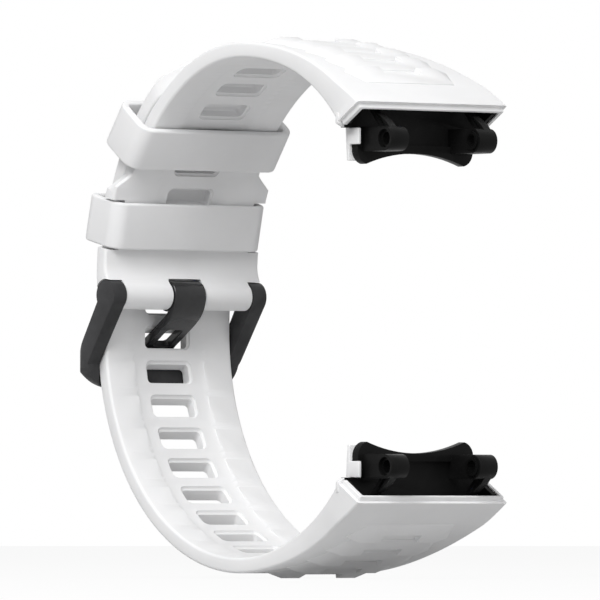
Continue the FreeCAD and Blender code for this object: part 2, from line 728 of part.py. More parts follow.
def frame_back_corner(rear_x):
    """The tool that rounds one rear corner of the frame as seen from above."""
    half = ARM_GAP / 2.0 + ARM_T
    r = FRAME_BACK_R
    k = r * (1.0 - math.sqrt(0.5))
    low = BAR_LOW_Z - 1.0
    middle = V(rear_x + k, half - k, low)
    arc = Part.Arc(V(rear_x + r, half, low), middle, V(rear_x, half - r, low)).toShape()
    rim = [(rear_x, half - r), (rear_x - 2.0, half - r), (rear_x - 2.0, half + 2.0),
           (rear_x + r, half + 2.0), (rear_x + r, half)]
    sides = [Part.makeLine(V(a[0], a[1], low), V(b[0], b[1], low)) for a, b in zip(rim, rim[1:])]
    return Part.Face(Part.Wire([arc] + sides)).extrude(V(0, 0, 12.0))


def buckle_tongue():
    """The tongue: an eye round the bar and a curved prong through one slot."""
    front = ArcPath((TONGUE_R, 0.0), 270.0, TONGUE_ARCS, -1)
    near = front.edges(0.0, front.length)
    far = front.edges(0.0, front.length, -TONGUE_T)
    angle = front.heading(front.length)
    step = V(math.cos(angle), 0, math.sin(angle)) * TONGUE_STRAIGHT
    a = front.at(front.length) + step
    hook = ArcPath((a.x, a.z), math.degrees(angle), (TONGUE_TIP_ARC,), 1)
    near = near + hook.edges(0.0, hook.length)
    far = far + hook.edges(0.0, hook.length, -TONGUE_T)
    prong = across(closed_face(near + reverse(far)), TONGUE_W)
    eye = Part.makeCylinder(TONGUE_R, TONGUE_W, V(0, -TONGUE_W / 2.0, 0), V(0, 1, 0))
    hole = Part.makeCylinder(BAR_R + PIVOT_CLEAR, TONGUE_W + 2.0, V(0, -TONGUE_W / 2.0 - 1.0, 0), V(0, 1, 0))
    window = rounded_rect(TONGUE_WINDOW_W, TONGUE_WINDOW_L, 0.5).extrude(V(0, 0, 6.0))
    window.translate(V(0, 0, -3.0))
    middle = front.at(front.length) + step * TONGUE_WINDOW_AT
    out = (math.sin(angle), 0.0, -math.cos(angle))
    window.Placement = FreeCAD.Placement(FreeCAD.Matrix(
        0.0, math.cos(angle), out[0], middle.x,
        1.0, 0.0, 0.0, 0.0,
        0.0, math.sin(angle), out[2], middle.z,
        0.0, 0.0, 0.0, 1.0)).multiply(window.Placement)
    return one_solid(eye.fuse(prong).cut([hole, window]))


def spring_bar_barrel():
    """Hollow bar through the strap's tube and the tongue's eye."""
    half = BAR_LENGTH / 2.0
    tube = Part.makeCylinder(BAR_R, BAR_LENGTH, V(0, -half, 0), V(0, 1, 0))
    bore = Part.makeCylinder(PLUNGER_R + PLUNGER_FIT, BAR_LENGTH + 2.0, V(0, -half - 1.0, 0), V(0, 1, 0))
    return one_solid(tube.cut(bore))


def bar_tip(side):
    """One tip of the bar, from inside the barrel to its socket in the buckle's arm."""
    inner = BAR_LENGTH / 2.0 - PLUNGER_HEAD_L
    length = PLUNGER_REACH - inner
    tip = Part.makeCylinder(PLUNGER_R, length, V(0, inner, 0), V(0, 1, 0))
    return tip if side > 0 else tip.mirror(V(0, 0, 0), V(0, 1, 0))


def bar_spring():
    """Coil spring between the two tips, a wire swept along a helix."""
    half = BAR_LENGTH / 2.0 - PLUNGER_HEAD_L - SPRING_WIRE_R - 0.02
    radius = PLUNGER_R - SPRING_WIRE_R - 0.03
    helix = Part.makeHelix(2.0 * half / SPRING_TURNS, 2.0 * half, radius)
    circle = Part.Wire(Part.makeCircle(SPRING_WIRE_R, V(radius, 0, 0), V(0, 1, 0)))
    coil = Part.Wire(helix).makePipeShell([circle], True, True)
    coil.rotate(V(0, 0, 0), V(1, 0, 0), -90.0)
    coil.translate(V(0, -half, 0))
    return coil


# ---- case connectors ----
def connector_bracket():
    """Metal bracket: pocket walls, curved plate, two lug tubes and their split ribs."""
    mouth, deep = cavity_corners(SHELL_WALL, CONNECTOR_RECESS)
    in_mouth, _ = cavity_corners(SHELL_WALL + CONNECTOR_SHELL_T, CONNECTOR_RECESS)
    _, out, back_dir = face_vectors()
    floor = pocket_floor()
    sill_z = floor.z - SILL_DROP
    back_x = PLATE_BACK_X + BACK_T
    width = CASE_W - 2.0 * SHELL_WALL
    roof = polygon([(mouth.x, mouth.z), (deep.x, deep.z), (PLATE_BACK_X, deep.z - 1.2),
                    (in_mouth.x, in_mouth.z)])
    edge = (mouth + out * SIDE_WALL_OUT, floor + out * (SIDE_WALL_OUT - CONNECTOR_RECESS))
    side = polygon([(mouth.x, mouth.z), (deep.x, deep.z), (PLATE_BACK_X, sill_z), (edge[1].x, sill_z),
                    (edge[1].x, edge[1].z), (edge[0].x, edge[0].z)])
    walls = both_sides(across(side, CONNECTOR_SHELL_T, (width - CONNECTOR_SHELL_T) / 2.0))
    upper_back = across(plate_profile(deep.z, back_x, sill_z), width)
    lower_back = across(plate_profile(deep.z, back_x, FLANGE_TOP_Z - 0.2), FLANGE_W)
    middle = (LUG_INNER_Y + LUG_OUTER_Y) / 2.0
    bosses = [lug_boss(y * middle, in_mouth, back_dir) for y in (-1.0, 1.0)]
    body = across(roof, width).fuse(walls + [upper_back, lower_back, flange()] + bosses)
    reach = LUG_OUTER_Y + 1.0
    bore = Part.makeCylinder(LUG_BORE_R, 2.0 * reach, V(LUG_X, -reach, LUG_Z), V(0, 1, 0))
    return one_solid(body.cut(bore))


def plate_profile(top_z, front_x, low_z):
    """Side view of the back plate from under the roof down to low_z."""
    return polygon([(PLATE_BACK_X, top_z), (PLATE_BACK_X, low_z), (front_x, low_z), (front_x, top_z - 0.5)])


def flange():
    """The plate's curved free end with rounded corners."""
    half = FLANGE_W / 2.0
    corner = FLANGE_CORNER_R
    k = corner * (1.0 - math.sqrt(0.5))
    top = FLANGE_TOP_Z
    low = FLANGE_END_Z
    a = Part.Arc(V(0, half, low + corner), V(0, half - k, low + k), V(0, half - corner, low)).toShape()
    b = Part.Arc(V(0, corner - half, low), V(0, k - half, low + k), V(0, -half, low + corner)).toShape()
    edges = [Part.makeLine(V(0, half, top), V(0, half, low + corner)), a,
             Part.makeLine(V(0, half - corner, low), V(0, corner - half, low)), b,
             Part.makeLine(V(0, -half, low + corner), V(0, -half, top)),
             Part.makeLine(V(0, -half, top), V(0, half, top))]
    plate = Part.Face(Part.Wire(edges)).extrude(V(FLANGE_T, 0, 0))
    plate.translate(V(PLATE_BACK_X, 0, 0))
    return plate.cut(arc_relief(0.0))


def run_to_line(start, direction, point, line_direction):
    """How far start must go along direction to meet the line through point."""
    gap = point - start
    across_gap = gap.x * line_direction.z - gap.z * line_direction.x
    return across_gap / (direction.x * line_direction.z - direction.z * line_direction.x)


def lug_boss(middle, roof_point, skin):
    """One lug tube, its web to the back wall and the two slanting ribs to the roof."""
    length = LUG_OUTER_Y - LUG_INNER_Y
    tube = Part.makeCylinder(LUG_R, length, V(LUG_X, middle - length / 2.0, LUG_Z), V(0, 1, 0))
    wall_x = PLATE_BACK_X + BACK_T - 0.2
    web = polygon([(wall_x, LUG_Z + LUG_R), (LUG_X, LUG_Z + LUG_R), (LUG_X, LUG_Z - LUG_R),
                   (wall_x, LUG_Z - LUG_R)])
    parts = [across(web, length, middle)]
    lean = math.radians(RIB_LEAN)
    rise = V(-math.sin(lean), 0, math.cos(lean))
    for k in range(2):
        near = V(LUG_X + RIB_FOOT + k * (RIB_T + RIB_GAP), 0, LUG_Z + LUG_R * 0.72)
        corners = []
        for foot in (near, near + V(RIB_T, 0, 0)):
            top = foot + rise * (run_to_line(foot, rise, roof_point, skin) + 0.35)
            corners.append((foot, top))
        ring = (corners[0][0], corners[0][1], corners[1][1], corners[1][0])
        centre = math.copysign((RIB_INNER_Y + RIB_OUTER_Y) / 2.0, middle)
        parts.append(across(polygon([(p.x, p.z) for p in ring]), RIB_OUTER_Y - RIB_INNER_Y, centre))
    return tube.fuse(parts)


def lug_bush(side):
    """Metal sleeve inside one lug tube."""
    start = LUG_INNER_Y - BUSH_PROUD
    length = LUG_OUTER_Y - BUSH_RECESS - start
    sleeve = Part.makeCylinder(LUG_BORE_R, length, V(LUG_X, start, LUG_Z), V(0, 1, 0))
    hole = Part.makeCylinder(BUSH_BORE_R, length + 2.0, V(LUG_X, start - 1.0, LUG_Z), V(0, 1, 0))
    bush = one_solid(sleeve.cut(hole))
    return bush if side > 0 else bush.mirror(V(0, 0, 0), V(0, 1, 0))


def build():
    """Every node by name, drawn about the buckle pin."""
    nodes = {
        "short_strap": short_strap(),
        "long_strap": long_strap(),
        "keeper_upper": keeper(KEEPER_UPPER_ANGLE),
        "keeper_lower": keeper(KEEPER_LOWER_ANGLE),
        "buckle_frame": buckle_frame(),
        "buckle_tongue": buckle_tongue(),
        "spring_bar_barrel": spring_bar_barrel(),
        "spring_bar_plunger": bar_tip(-1),
        "spring_bar_fixed_tip": bar_tip(1),
        "spring_bar_spring": bar_spring(),
    }
    for name, path, side in (("upper", SHORT, 1), ("lower", LONG, -1)):
        nodes["connector_" + name] = case_place(connector_bracket(), path, side)
        nodes["lug_bush_" + name + "_near"] = case_place(lug_bush(-1), path, side)
        nodes["lug_bush_" + name + "_far"] = case_place(lug_bush(1), path, side)
    return nodes


def base_shift(nodes):
    """The move that puts the origin at the middle of the bounding box's base."""
    box = FreeCAD.BoundBox()
    for shape in nodes.values():
        box.add(shape.optimalBoundingBox(False, False))
    return V(-(box.XMin + box.XMax) / 2.0, -(box.YMin + box.YMax) / 2.0, -box.ZMin)


def main():
    """Builds the nodes and writes one STEP file each."""
    os.makedirs("parts", exist_ok=True)
    nodes = build()
    shift = base_shift(nodes)
    for name, shape in nodes.items():
        shape.translate(shift)
        shape.exportStep("parts/" + name + ".step")


if __name__ == "__main__":
    main()
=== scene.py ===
"""Looks of a buckled two-piece watch strap: moulded silicone halves, keepers and black metalwork.

Shapes are worked out in millimetres about the buckle pin and placed in the frame in metres.
"""

import json
import logging
import math
from collections.abc import Iterator
from contextlib import contextmanager
from dataclasses import dataclass, field
from enum import Enum
from typing import Any

import bmesh
import bpy
from mathutils import Matrix, Vector

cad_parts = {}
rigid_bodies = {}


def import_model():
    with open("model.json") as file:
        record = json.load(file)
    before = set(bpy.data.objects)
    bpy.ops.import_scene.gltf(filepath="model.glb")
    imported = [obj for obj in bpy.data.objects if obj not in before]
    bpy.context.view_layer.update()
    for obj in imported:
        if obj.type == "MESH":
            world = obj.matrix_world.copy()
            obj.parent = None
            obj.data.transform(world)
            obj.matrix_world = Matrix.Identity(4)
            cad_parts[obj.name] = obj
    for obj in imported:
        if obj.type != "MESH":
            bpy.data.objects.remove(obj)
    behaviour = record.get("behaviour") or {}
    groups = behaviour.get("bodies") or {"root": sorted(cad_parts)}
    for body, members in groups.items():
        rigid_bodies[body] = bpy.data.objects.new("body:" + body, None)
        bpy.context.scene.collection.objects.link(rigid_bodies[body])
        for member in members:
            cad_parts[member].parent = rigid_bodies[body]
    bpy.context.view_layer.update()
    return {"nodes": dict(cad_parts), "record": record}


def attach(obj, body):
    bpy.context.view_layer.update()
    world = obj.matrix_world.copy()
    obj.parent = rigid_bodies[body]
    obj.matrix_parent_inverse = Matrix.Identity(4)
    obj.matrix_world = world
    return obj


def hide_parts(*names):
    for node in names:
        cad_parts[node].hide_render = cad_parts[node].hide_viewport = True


LOG = logging.getLogger("strap")
MM = 0.001
QUARTER = math.radians(90.0)
ACROSS = Vector((0.0, 1.0, 0.0))
UP = Vector((0.0, 0.0, 1.0))
VIEW_POINT = (56.95, 0.0, -1.95)
KEEPER_ANGLES = {"lower": 13.55, "upper": 36.4}
BORE_FACETS = 40
SEAT_FACETS = 48
EYE_FACETS = 64
RELIEF_FACETS = 96
TOOL_REACH = 6.0


class Side(Enum):
    """Which side of a strap's line its outer face lies on, seen along its travel."""

    LEFT = 1
    RIGHT = -1


class Cut(Enum):
    """How a tool changes a body."""

    ADD = "UNION"
    REMOVE = "DIFFERENCE"


# ---------------------------------------------------------------- geometry helpers
def pointing(angle: float) -> Vector:
    """The unit vector in the XZ plane at an angle in radians above +X."""
    return Vector((math.cos(angle), 0.0, math.sin(angle)))


def right_of(along: Vector) -> Vector:
    """A direction in the XZ plane turned a quarter to the right."""
    return Vector((along.z, 0.0, -along.x))


def polar(cx: float, cz: float, radius: float, angle: float) -> Vector:
    """The point of a circle in the XZ plane at an angle in radians."""
    return Vector((cx + radius * math.cos(angle), 0.0, cz + radius * math.sin(angle)))


def basis(x: Vector, y: Vector, z: Vector, at: Vector) -> Matrix:
    """The placement with these three axes and this origin."""
    return Matrix((*zip(x, y, z, at), (0.0, 0.0, 0.0, 1.0)))


class ArcPath:
    """A chain of tangent arcs in the XZ plane, in millimetres."""

    def __init__(self, start: tuple[float, float], heading: float,
                 arcs: tuple[tuple[float, float], ...], turn: int) -> None:
        """Lays the arcs end to end.

        Args:
            start: first point as (x, z).
            heading: first direction in degrees above +X.
            arcs: (radius, sweep in degrees) of each arc.
            turn: 1 for left turns, -1 for right turns.
        """
        self.turn = turn
        self.parts: list[tuple[float, float, float, float, float, float]] = []
        self.length = 0.0
        x, z = start
        angle = math.radians(heading)
        for radius, sweep in arcs:
            cx = x - turn * radius * math.sin(angle)
            cz = z + turn * radius * math.cos(angle)
            span = radius * math.radians(sweep)
            self.parts.append((self.length, span, cx, cz, radius, angle))
            angle += turn * math.radians(sweep)
            x = cx + turn * radius * math.sin(angle)
            z = cz - turn * radius * math.cos(angle)
            self.length += span

    def _part(self, s: float) -> tuple[float, float, float, float, float, float]:
        """Finds the arc at a distance.

        Args:
            s: distance along the path.

        Returns:
            The arc's first distance, length, centre x and z, radius and first angle.
        """
        for part in self.parts:
            if s <= part[0] + part[1]:
                return part
        return self.parts[-1]

    def heading(self, s: float) -> float:
        """Heading in radians at distance s."""
        begin, _, _, _, radius, angle = self._part(s)
        return angle + self.turn * (s - begin) / radius

    def at(self, s: float, left: float = 0.0) -> Vector:
        """Finds a point on the path or beside it.

        Args:
            s: distance along the path.
            left: how far to the left of the travel.

        Returns:
            The point.
        """
        _, _, cx, cz, radius, _ = self._part(s)
        bend = self.heading(s)
        reach = self.turn * (radius - self.turn * left)
        return Vector((cx + reach * math.sin(bend), 0.0, cz - reach * math.cos(bend)))

    def frame(self, s: float) -> Matrix:
        """A placement at s: local x across the strap, y along it, z to the right of it."""
        along = pointing(self.heading(s))
        return basis(ACROSS, along, right_of(along), self.at(s))


def tangent_arc(start: Vector, angle: float, end: Vector) -> tuple[float, float]:
    """Fits an arc between two points.

    Args:
        start: where it begins.
        angle: its first heading in radians.
        end: where it ends.

    Returns:
        Its radius and its sweep in degrees.
    """
    chord = math.hypot(end.x - start.x, end.z - start.z)
    bend = math.atan2(end.z - start.z, end.x - start.x) - angle
    bend = abs(math.atan2(math.sin(bend), math.cos(bend)))
    return chord / (2.0 * math.sin(bend)), math.degrees(2.0 * bend)


def circle(radius: float, count: int, cz: float = 0.0) -> list[tuple[float, float]]:
    """Corners of a round profile about (0, cz)."""
    turns = (2.0 * math.pi * k / count for k in range(count))
    return [(radius * math.cos(a), cz + radius * math.sin(a)) for a in turns]


def oblong(x: float, low: float, high: float) -> list[tuple[float, float]]:
    """Corners of a rectangular profile from -x to x and from low to high."""
    return [(-x, low), (x, low), (x, high), (-x, high)]


def rounded_oblong(x: float, y: float, corner: float, steps: int) -> list[tuple[float, float]]:
    """Goes round a rectangle with rounded corners.

    Args:
        x: half its width.
        y: half its height.
        corner: radius of its corners.
        steps: facets of each corner.

    Returns:
        The points as pairs.
    """
    points = []
    for begin, sx, sy in ((0.0, 1, 1), (90.0, -1, 1), (180.0, -1, -1), (270.0, 1, -1)):
        for k in range(steps + 1):
            turn = math.radians(begin + 90.0 * k / steps)
            points.append((sx * (x - corner) + corner * math.cos(turn),
                           sy * (y - corner) + corner * math.sin(turn)))
    return points


def level(x0: float, x1: float, y0: float, y1: float, z: float) -> list[Vector]:
    """Corners of a level rectangle."""
    return [Vector((x0, y0, z)), Vector((x1, y0, z)), Vector((x1, y1, z)), Vector((x0, y1, z))]


def add_object(name: str, data: bpy.types.ID) -> bpy.types.Object:
    """Makes an object and links it to the scene.

    Args:
        name: the object's name.
        data: the mesh, curve, lamp or camera that it shows.

    Returns:
        The linked object.
    """
    obj = bpy.data.objects.new(name, data)
    bpy.context.scene.collection.objects.link(obj)
    return obj


def link(name: str, bm: bmesh.types.BMesh) -> bpy.types.Object:
    """Turns a finished bmesh into an object and frees it.

    Args:
        name: the object's name.
        bm: the finished mesh.

    Returns:
        The linked object.
    """
    mesh = bpy.data.meshes.new(name)
    bm.to_mesh(mesh)
    bm.free()
    return add_object(name, mesh)


@contextmanager
def edited(obj: bpy.types.Object) -> Iterator[bmesh.types.BMesh]:
    """Opens an object's mesh for changes and writes it back afterwards.

    Args:
        obj: the object.

    Yields:
        Its mesh as a bmesh.
    """
    bm = bmesh.new()
    bm.from_mesh(obj.data)
    yield bm
    bm.to_mesh(obj.data)
    bm.free()


def mesh_of(name: str, loops: list[list[Vector]], closed: bool = False) -> bpy.types.Object:
    """Skins an object over loops of equal length.

    Args:
        name: the object's name.
        loops: point loops in order along the body.
        closed: whether the last loop joins the first one; open ends get a face.

    Returns:
        The linked object.
    """
    bm = bmesh.new()
    rings = [[bm.verts.new(p) for p in loop] for loop in loops]
    count = len(loops[0])
    pairs = list(zip(rings, rings[1:]))
    if closed:
        pairs.append((rings[-1], rings[0]))
    for a, b in pairs:
        for i in range(count):
            j = (i + 1) % count
            bm.faces.new((a[i], a[j], b[j], b[i]))
    if not closed:
        bm.faces.new(list(reversed(rings[0])))
        bm.faces.new(rings[-1])
    bmesh.ops.recalc_face_normals(bm, faces=bm.faces)
    return link(name, bm)


def prism(name: str, corners: list[tuple[float, float]], width: float, middle: float = 0.0,
          round_by: float = 0.0) -> bpy.types.Object:
    """Makes a block with a polygon profile in the XZ plane.

    Args:
        name: the object's name.
        corners: (x, z) corners of the profile.
        width: size across the strap.
        middle: centre across the strap.
        round_by: radius of its rounded edges, or 0 for sharp ones.

    Returns:
        The linked block.
    """
    faces = [[Vector((x, middle + side * width / 2.0, z)) for x, z in corners] for side in (-1.0, 1.0)]
    obj = mesh_of(name, faces)
    if round_by > 0.0:
        soften(obj, round_by)
    return obj


def bevel_sharp(bm: bmesh.types.BMesh, radius: float, segments: int, angle: float) -> None:
    """Rounds the sharp edges of a mesh.

    Args:
        bm: the mesh.
        radius: how far the rounding reaches.
        segments: facets of each rounding.
        angle: least bend, in degrees, of an edge that is rounded.
    """
    sharp = [edge for edge in bm.edges
             if len(edge.link_faces) == 2 and edge.calc_face_angle(0.0) > math.radians(angle)]
    bmesh.ops.bevel(bm, geom=sharp, offset=radius, segments=segments, profile=0.5, affect="EDGES",
                    clamp_overlap=True)


def soften(obj: bpy.types.Object, radius: float, segments: int = 3) -> None:
    """Rounds every edge of an object that bends more than 25 degrees."""
    with edited(obj) as bm:
        bevel_sharp(bm, radius, segments, 25.0)


def place(obj: bpy.types.Object, matrix: Matrix) -> bpy.types.Object:
    """Moves an object's mesh, and turns its faces back outwards if the move mirrors it.

    Args:
        obj: the object.
        matrix: the move.

    Returns:
        The same object.
    """
    obj.data.transform(matrix)
    if matrix.determinant() < 0.0:
        obj.data.flip_normals()
    return obj


def mirrored(obj: bpy.types.Object) -> bpy.types.Object:
    """A copy of an object on the other side of the strap's middle plane."""
    twin = add_object(obj.name + "_twin", obj.data.copy())
    return place(twin, Matrix.Scale(-1.0, 4, ACROSS))


def join(objects: list[bpy.types.Object]) -> bpy.types.Object:
    """Merges objects, which are removed.

    Args:
        objects: the objects.

    Returns:
        One object that holds all their meshes.
    """
    bm = bmesh.new()
    name = objects[0].name
    for obj in objects:
        bm.from_mesh(obj.data)
    for obj in objects:
        bpy.data.objects.remove(obj)
    return link(name, bm)


def settle(obj: bpy.types.Object) -> None:
    """Turns an object's modifiers into its mesh.

    Args:
        obj: the object.
    """
    graph = bpy.context.evaluated_depsgraph_get()
    mesh = bpy.data.meshes.new_from_object(obj.evaluated_get(graph))
    obj.modifiers.clear()
    obj.data = mesh


def carve(body: bpy.types.Object, tool: bpy.types.Object, cut: Cut) -> None:
    """Adds a tool to a body or takes it away, and deletes the tool.

    Args:
        body: the body that changes.
        tool: the other solid, which is used up.
        cut: what the tool does.
    """
    modifier = body.modifiers.new("carve", "BOOLEAN")
    modifier.operation = cut.value
    modifier.solver = "EXACT"
    modifier.object = tool
    settle(body)
    bpy.data.objects.remove(tool)


def carve_pair(body: bpy.types.Object, tool: bpy.types.Object, cut: Cut) -> None:
    """Carves with a tool on both sides of the strap's middle plane."""
    carve(body, mirrored(tool), cut)
    carve(body, tool, cut)


def smooth(obj: bpy.types.Object, angle: float) -> None:
    """Smooths the shading across every edge that bends less than angle degrees."""
    obj.data.shade_smooth()
    obj.data.set_sharp_from_angle(angle=math.radians(angle))


def section(inner: Vector, outer: Vector, half_in: float, half_out: float, radius: float,
            steps: int = 4, across: Vector = ACROSS) -> list[Vector]:
    """Draws a rounded cross section of a band or a wall.

    Args:
        inner: middle of the wrist face.
        outer: middle of the outer face.
        half_in: half the width of the wrist face.
        half_out: half the width of the outer face.
        radius: corner radius, kept under the band's half thickness.
        steps: facets of each corner.
        across: direction of the width.

    Returns:
        The loop of points.
    """
    gap = outer - inner
    rim = min(radius, 0.48 * gap.length)
    rise = gap.normalized() * rim
    loop: list[Vector] = []
    corners = ((outer, half_out, 1.0, -1.0, False), (outer, half_out, -1.0, -1.0, True),
               (inner, half_in, -1.0, 1.0, False), (inner, half_in, 1.0, 1.0, True))
    for point, half, hand, lift, back in corners:
        for k in range(steps + 1):
            turn = QUARTER * (1.0 - k / steps if back else k / steps)
            y = hand * (half - rim + rim * math.cos(turn))
            loop.append(point + rise * (lift * (1.0 - math.sin(turn))) + across * y)
    return loop


# ---------------------------------------------------------------- the strap lines
@dataclass(frozen=True)
class StrapLines:
    """The arcs that both halves follow, and the sizes they share, in millimetres and degrees."""

    short_start: tuple[float, float] = (0.05, 2.65)
    short_arcs: tuple[tuple[float, float], ...] = ((30.57, 58.13), (24.43, 33.99), (38.44, 39.57))
    long_start: tuple[float, float] = (-3.15, -5.0)
    long_arcs: tuple[tuple[float, float], ...] = ((33.28, 30.75), (30.09, 74.54), (43.72, 25.70))
    tip_sweep: float = 7.0
    short_t: float = 2.2
    long_t: float = 2.15
    layer_gap: float = 0.08
    strap_w: float = 22.0
    case_w: float = 26.0
    case_taper: float = 24.0
    rim_length: float = 5.38
    rim_lean: float = 72.1
    thicken_run: float = 25.0
    face_tilt: float = 30.5
    skin_angle: float = 63.1
    keeper_l: float = 6.55

    def arc_centre(self) -> tuple[float, float]:
        """Centre of the arc that the keepers slide round."""
        return self.short_start[0] + self.short_arcs[0][0], self.short_start[1]

    def spoke(self, angle: float, reach: float) -> tuple[Vector, Vector, Vector]:
        """Stands on the keepers' arc.

        Args:
            angle: degrees round the arc from the pin's level.
            reach: distance from the arc's centre.

        Returns:
            The point there, the way outwards and the way up along the strap.
        """
        turn = math.radians(angle)
        out = Vector((-math.cos(turn), 0.0, math.sin(turn)))
        along = Vector((math.sin(turn), 0.0, math.cos(turn)))
        cx, cz = self.arc_centre()
        return Vector((cx, 0.0, cz)) + out * reach, out, along

    def thickness(self, side: Side) -> float:
        """Thickness of the band whose outer face lies on a side."""
        return self.short_t if side is Side.LEFT else self.long_t

    def short(self) -> ArcPath:
        """The wrist-side line of the buckle half, from the pin to the case."""
        return ArcPath(self.short_start, 90.0, self.short_arcs, -1)

    def over(self) -> float:
        """How far the long half's wrist face lies outside the short half's."""
        return self.short_t + self.layer_gap

    def long(self) -> tuple[ArcPath, float]:
        """Lays out the slotted half, first on top of the short half and then away from the buckle.

        Returns:
            Its wrist-side line from its tip, and the distance at which it leaves the buckle.
        """
        cx, cz = self.arc_centre()
        (first_r, first_sweep), (second_r, _), _ = self.short_arcs
        big = first_r + self.over()
        dx = self.long_start[0] - cx
        dz = self.long_start[1] - cz
        radius = (big ** 2 - dx ** 2 - dz ** 2) / (2.0 * (dx + big))
        meet = math.degrees(math.atan2(-dz, radius + dx))
        meet = abs(meet) if meet < 90.0 else 180.0 - meet
        tip_s = first_r * math.radians(first_sweep) + second_r * math.radians(self.tip_sweep)
        tip = self.short().at(tip_s, self.over())
        heading = 270.0 - first_sweep - self.tip_sweep
        upper = ((second_r + self.over(), self.tip_sweep), (big, first_sweep - meet), (radius, meet))
        path = ArcPath((tip.x, tip.z), heading, upper + self.long_arcs, 1)
        return path, sum(r * math.radians(a) for r, a in upper)

    def rim_corner(self, path: ArcPath, side: Side) -> Vector:
        """Outer corner of the end face."""
        angle = path.heading(path.length) + side.value * math.radians(self.rim_lean)
        return path.at(path.length) + pointing(angle) * self.rim_length

    def outer_line(self, path: ArcPath, side: Side) -> ArcPath:
        """Draws the thickening outer face near the case end.

        Args:
            path: the wrist-side line.
            side: where the outer face lies.

        Returns:
            A path of one arc.
        """
        s = path.length - self.thicken_run
        start = path.at(s, side.value * self.thickness(side))
        angle = path.heading(s)
        arc = tangent_arc(start, angle, self.rim_corner(path, side))
        return ArcPath((start.x, start.z), math.degrees(angle), (arc,), path.turn)

    def half_width(self, x: float, path: ArcPath, side: Side) -> float:
        """Works out half the strap's width, which grows towards the case on an arc.

        Args:
            x: where along X.
            path: the wrist-side line.
            side: where the outer face lies.

        Returns:
            Half the width.
        """
        rise = (self.case_w - self.strap_w) / 2.0
        longest = self.case_taper - self.rim_length * math.cos(math.radians(self.face_tilt))
        radius = (longest ** 2 + rise ** 2) / (2.0 * rise)
        run = x - (self.rim_corner(path, side).x - self.case_taper)
        if run <= 0.0:
            return self.strap_w / 2.0
        return self.strap_w / 2.0 + radius - math.sqrt(radius ** 2 - min(run, longest) ** 2)

    def case_matrix(self, path: ArcPath, side: Side) -> Matrix:
        """Works out the move from the end face's own drawing to the strap.

        Args:
            path: the wrist-side line.
            side: where the outer face lies.

        Returns:
            The move of what is drawn about the end face's outer corner.
        """
        lean = math.degrees(path.heading(path.length)) + side.value * self.rim_lean
        along = pointing(math.radians(lean - side.value * self.face_tilt))
        spin = basis(along, ACROSS, -right_of(along), self.rim_corner(path, side))
        if side is Side.LEFT:
            return spin
        return spin @ Matrix.Scale(-1.0, 4, UP)


# ---------------------------------------------------------------- node trees and repeats along a path
def add_node(tree: bpy.types.NodeTree, kind: str, values: dict[str, Any] | None = None,
             **settings: Any) -> bpy.types.Node:
    """Adds a node to a tree.

    Args:
        tree: the tree.
        kind: the node's type.
        values: what its inputs hold, by name.
        **settings: its own properties.

    Returns:
        The node.
    """
    node = tree.nodes.new(kind)
    for name, value in settings.items():
        setattr(node, name, value)
    for name, value in (values or {}).items():
        node.inputs[name].default_value = value
    return node


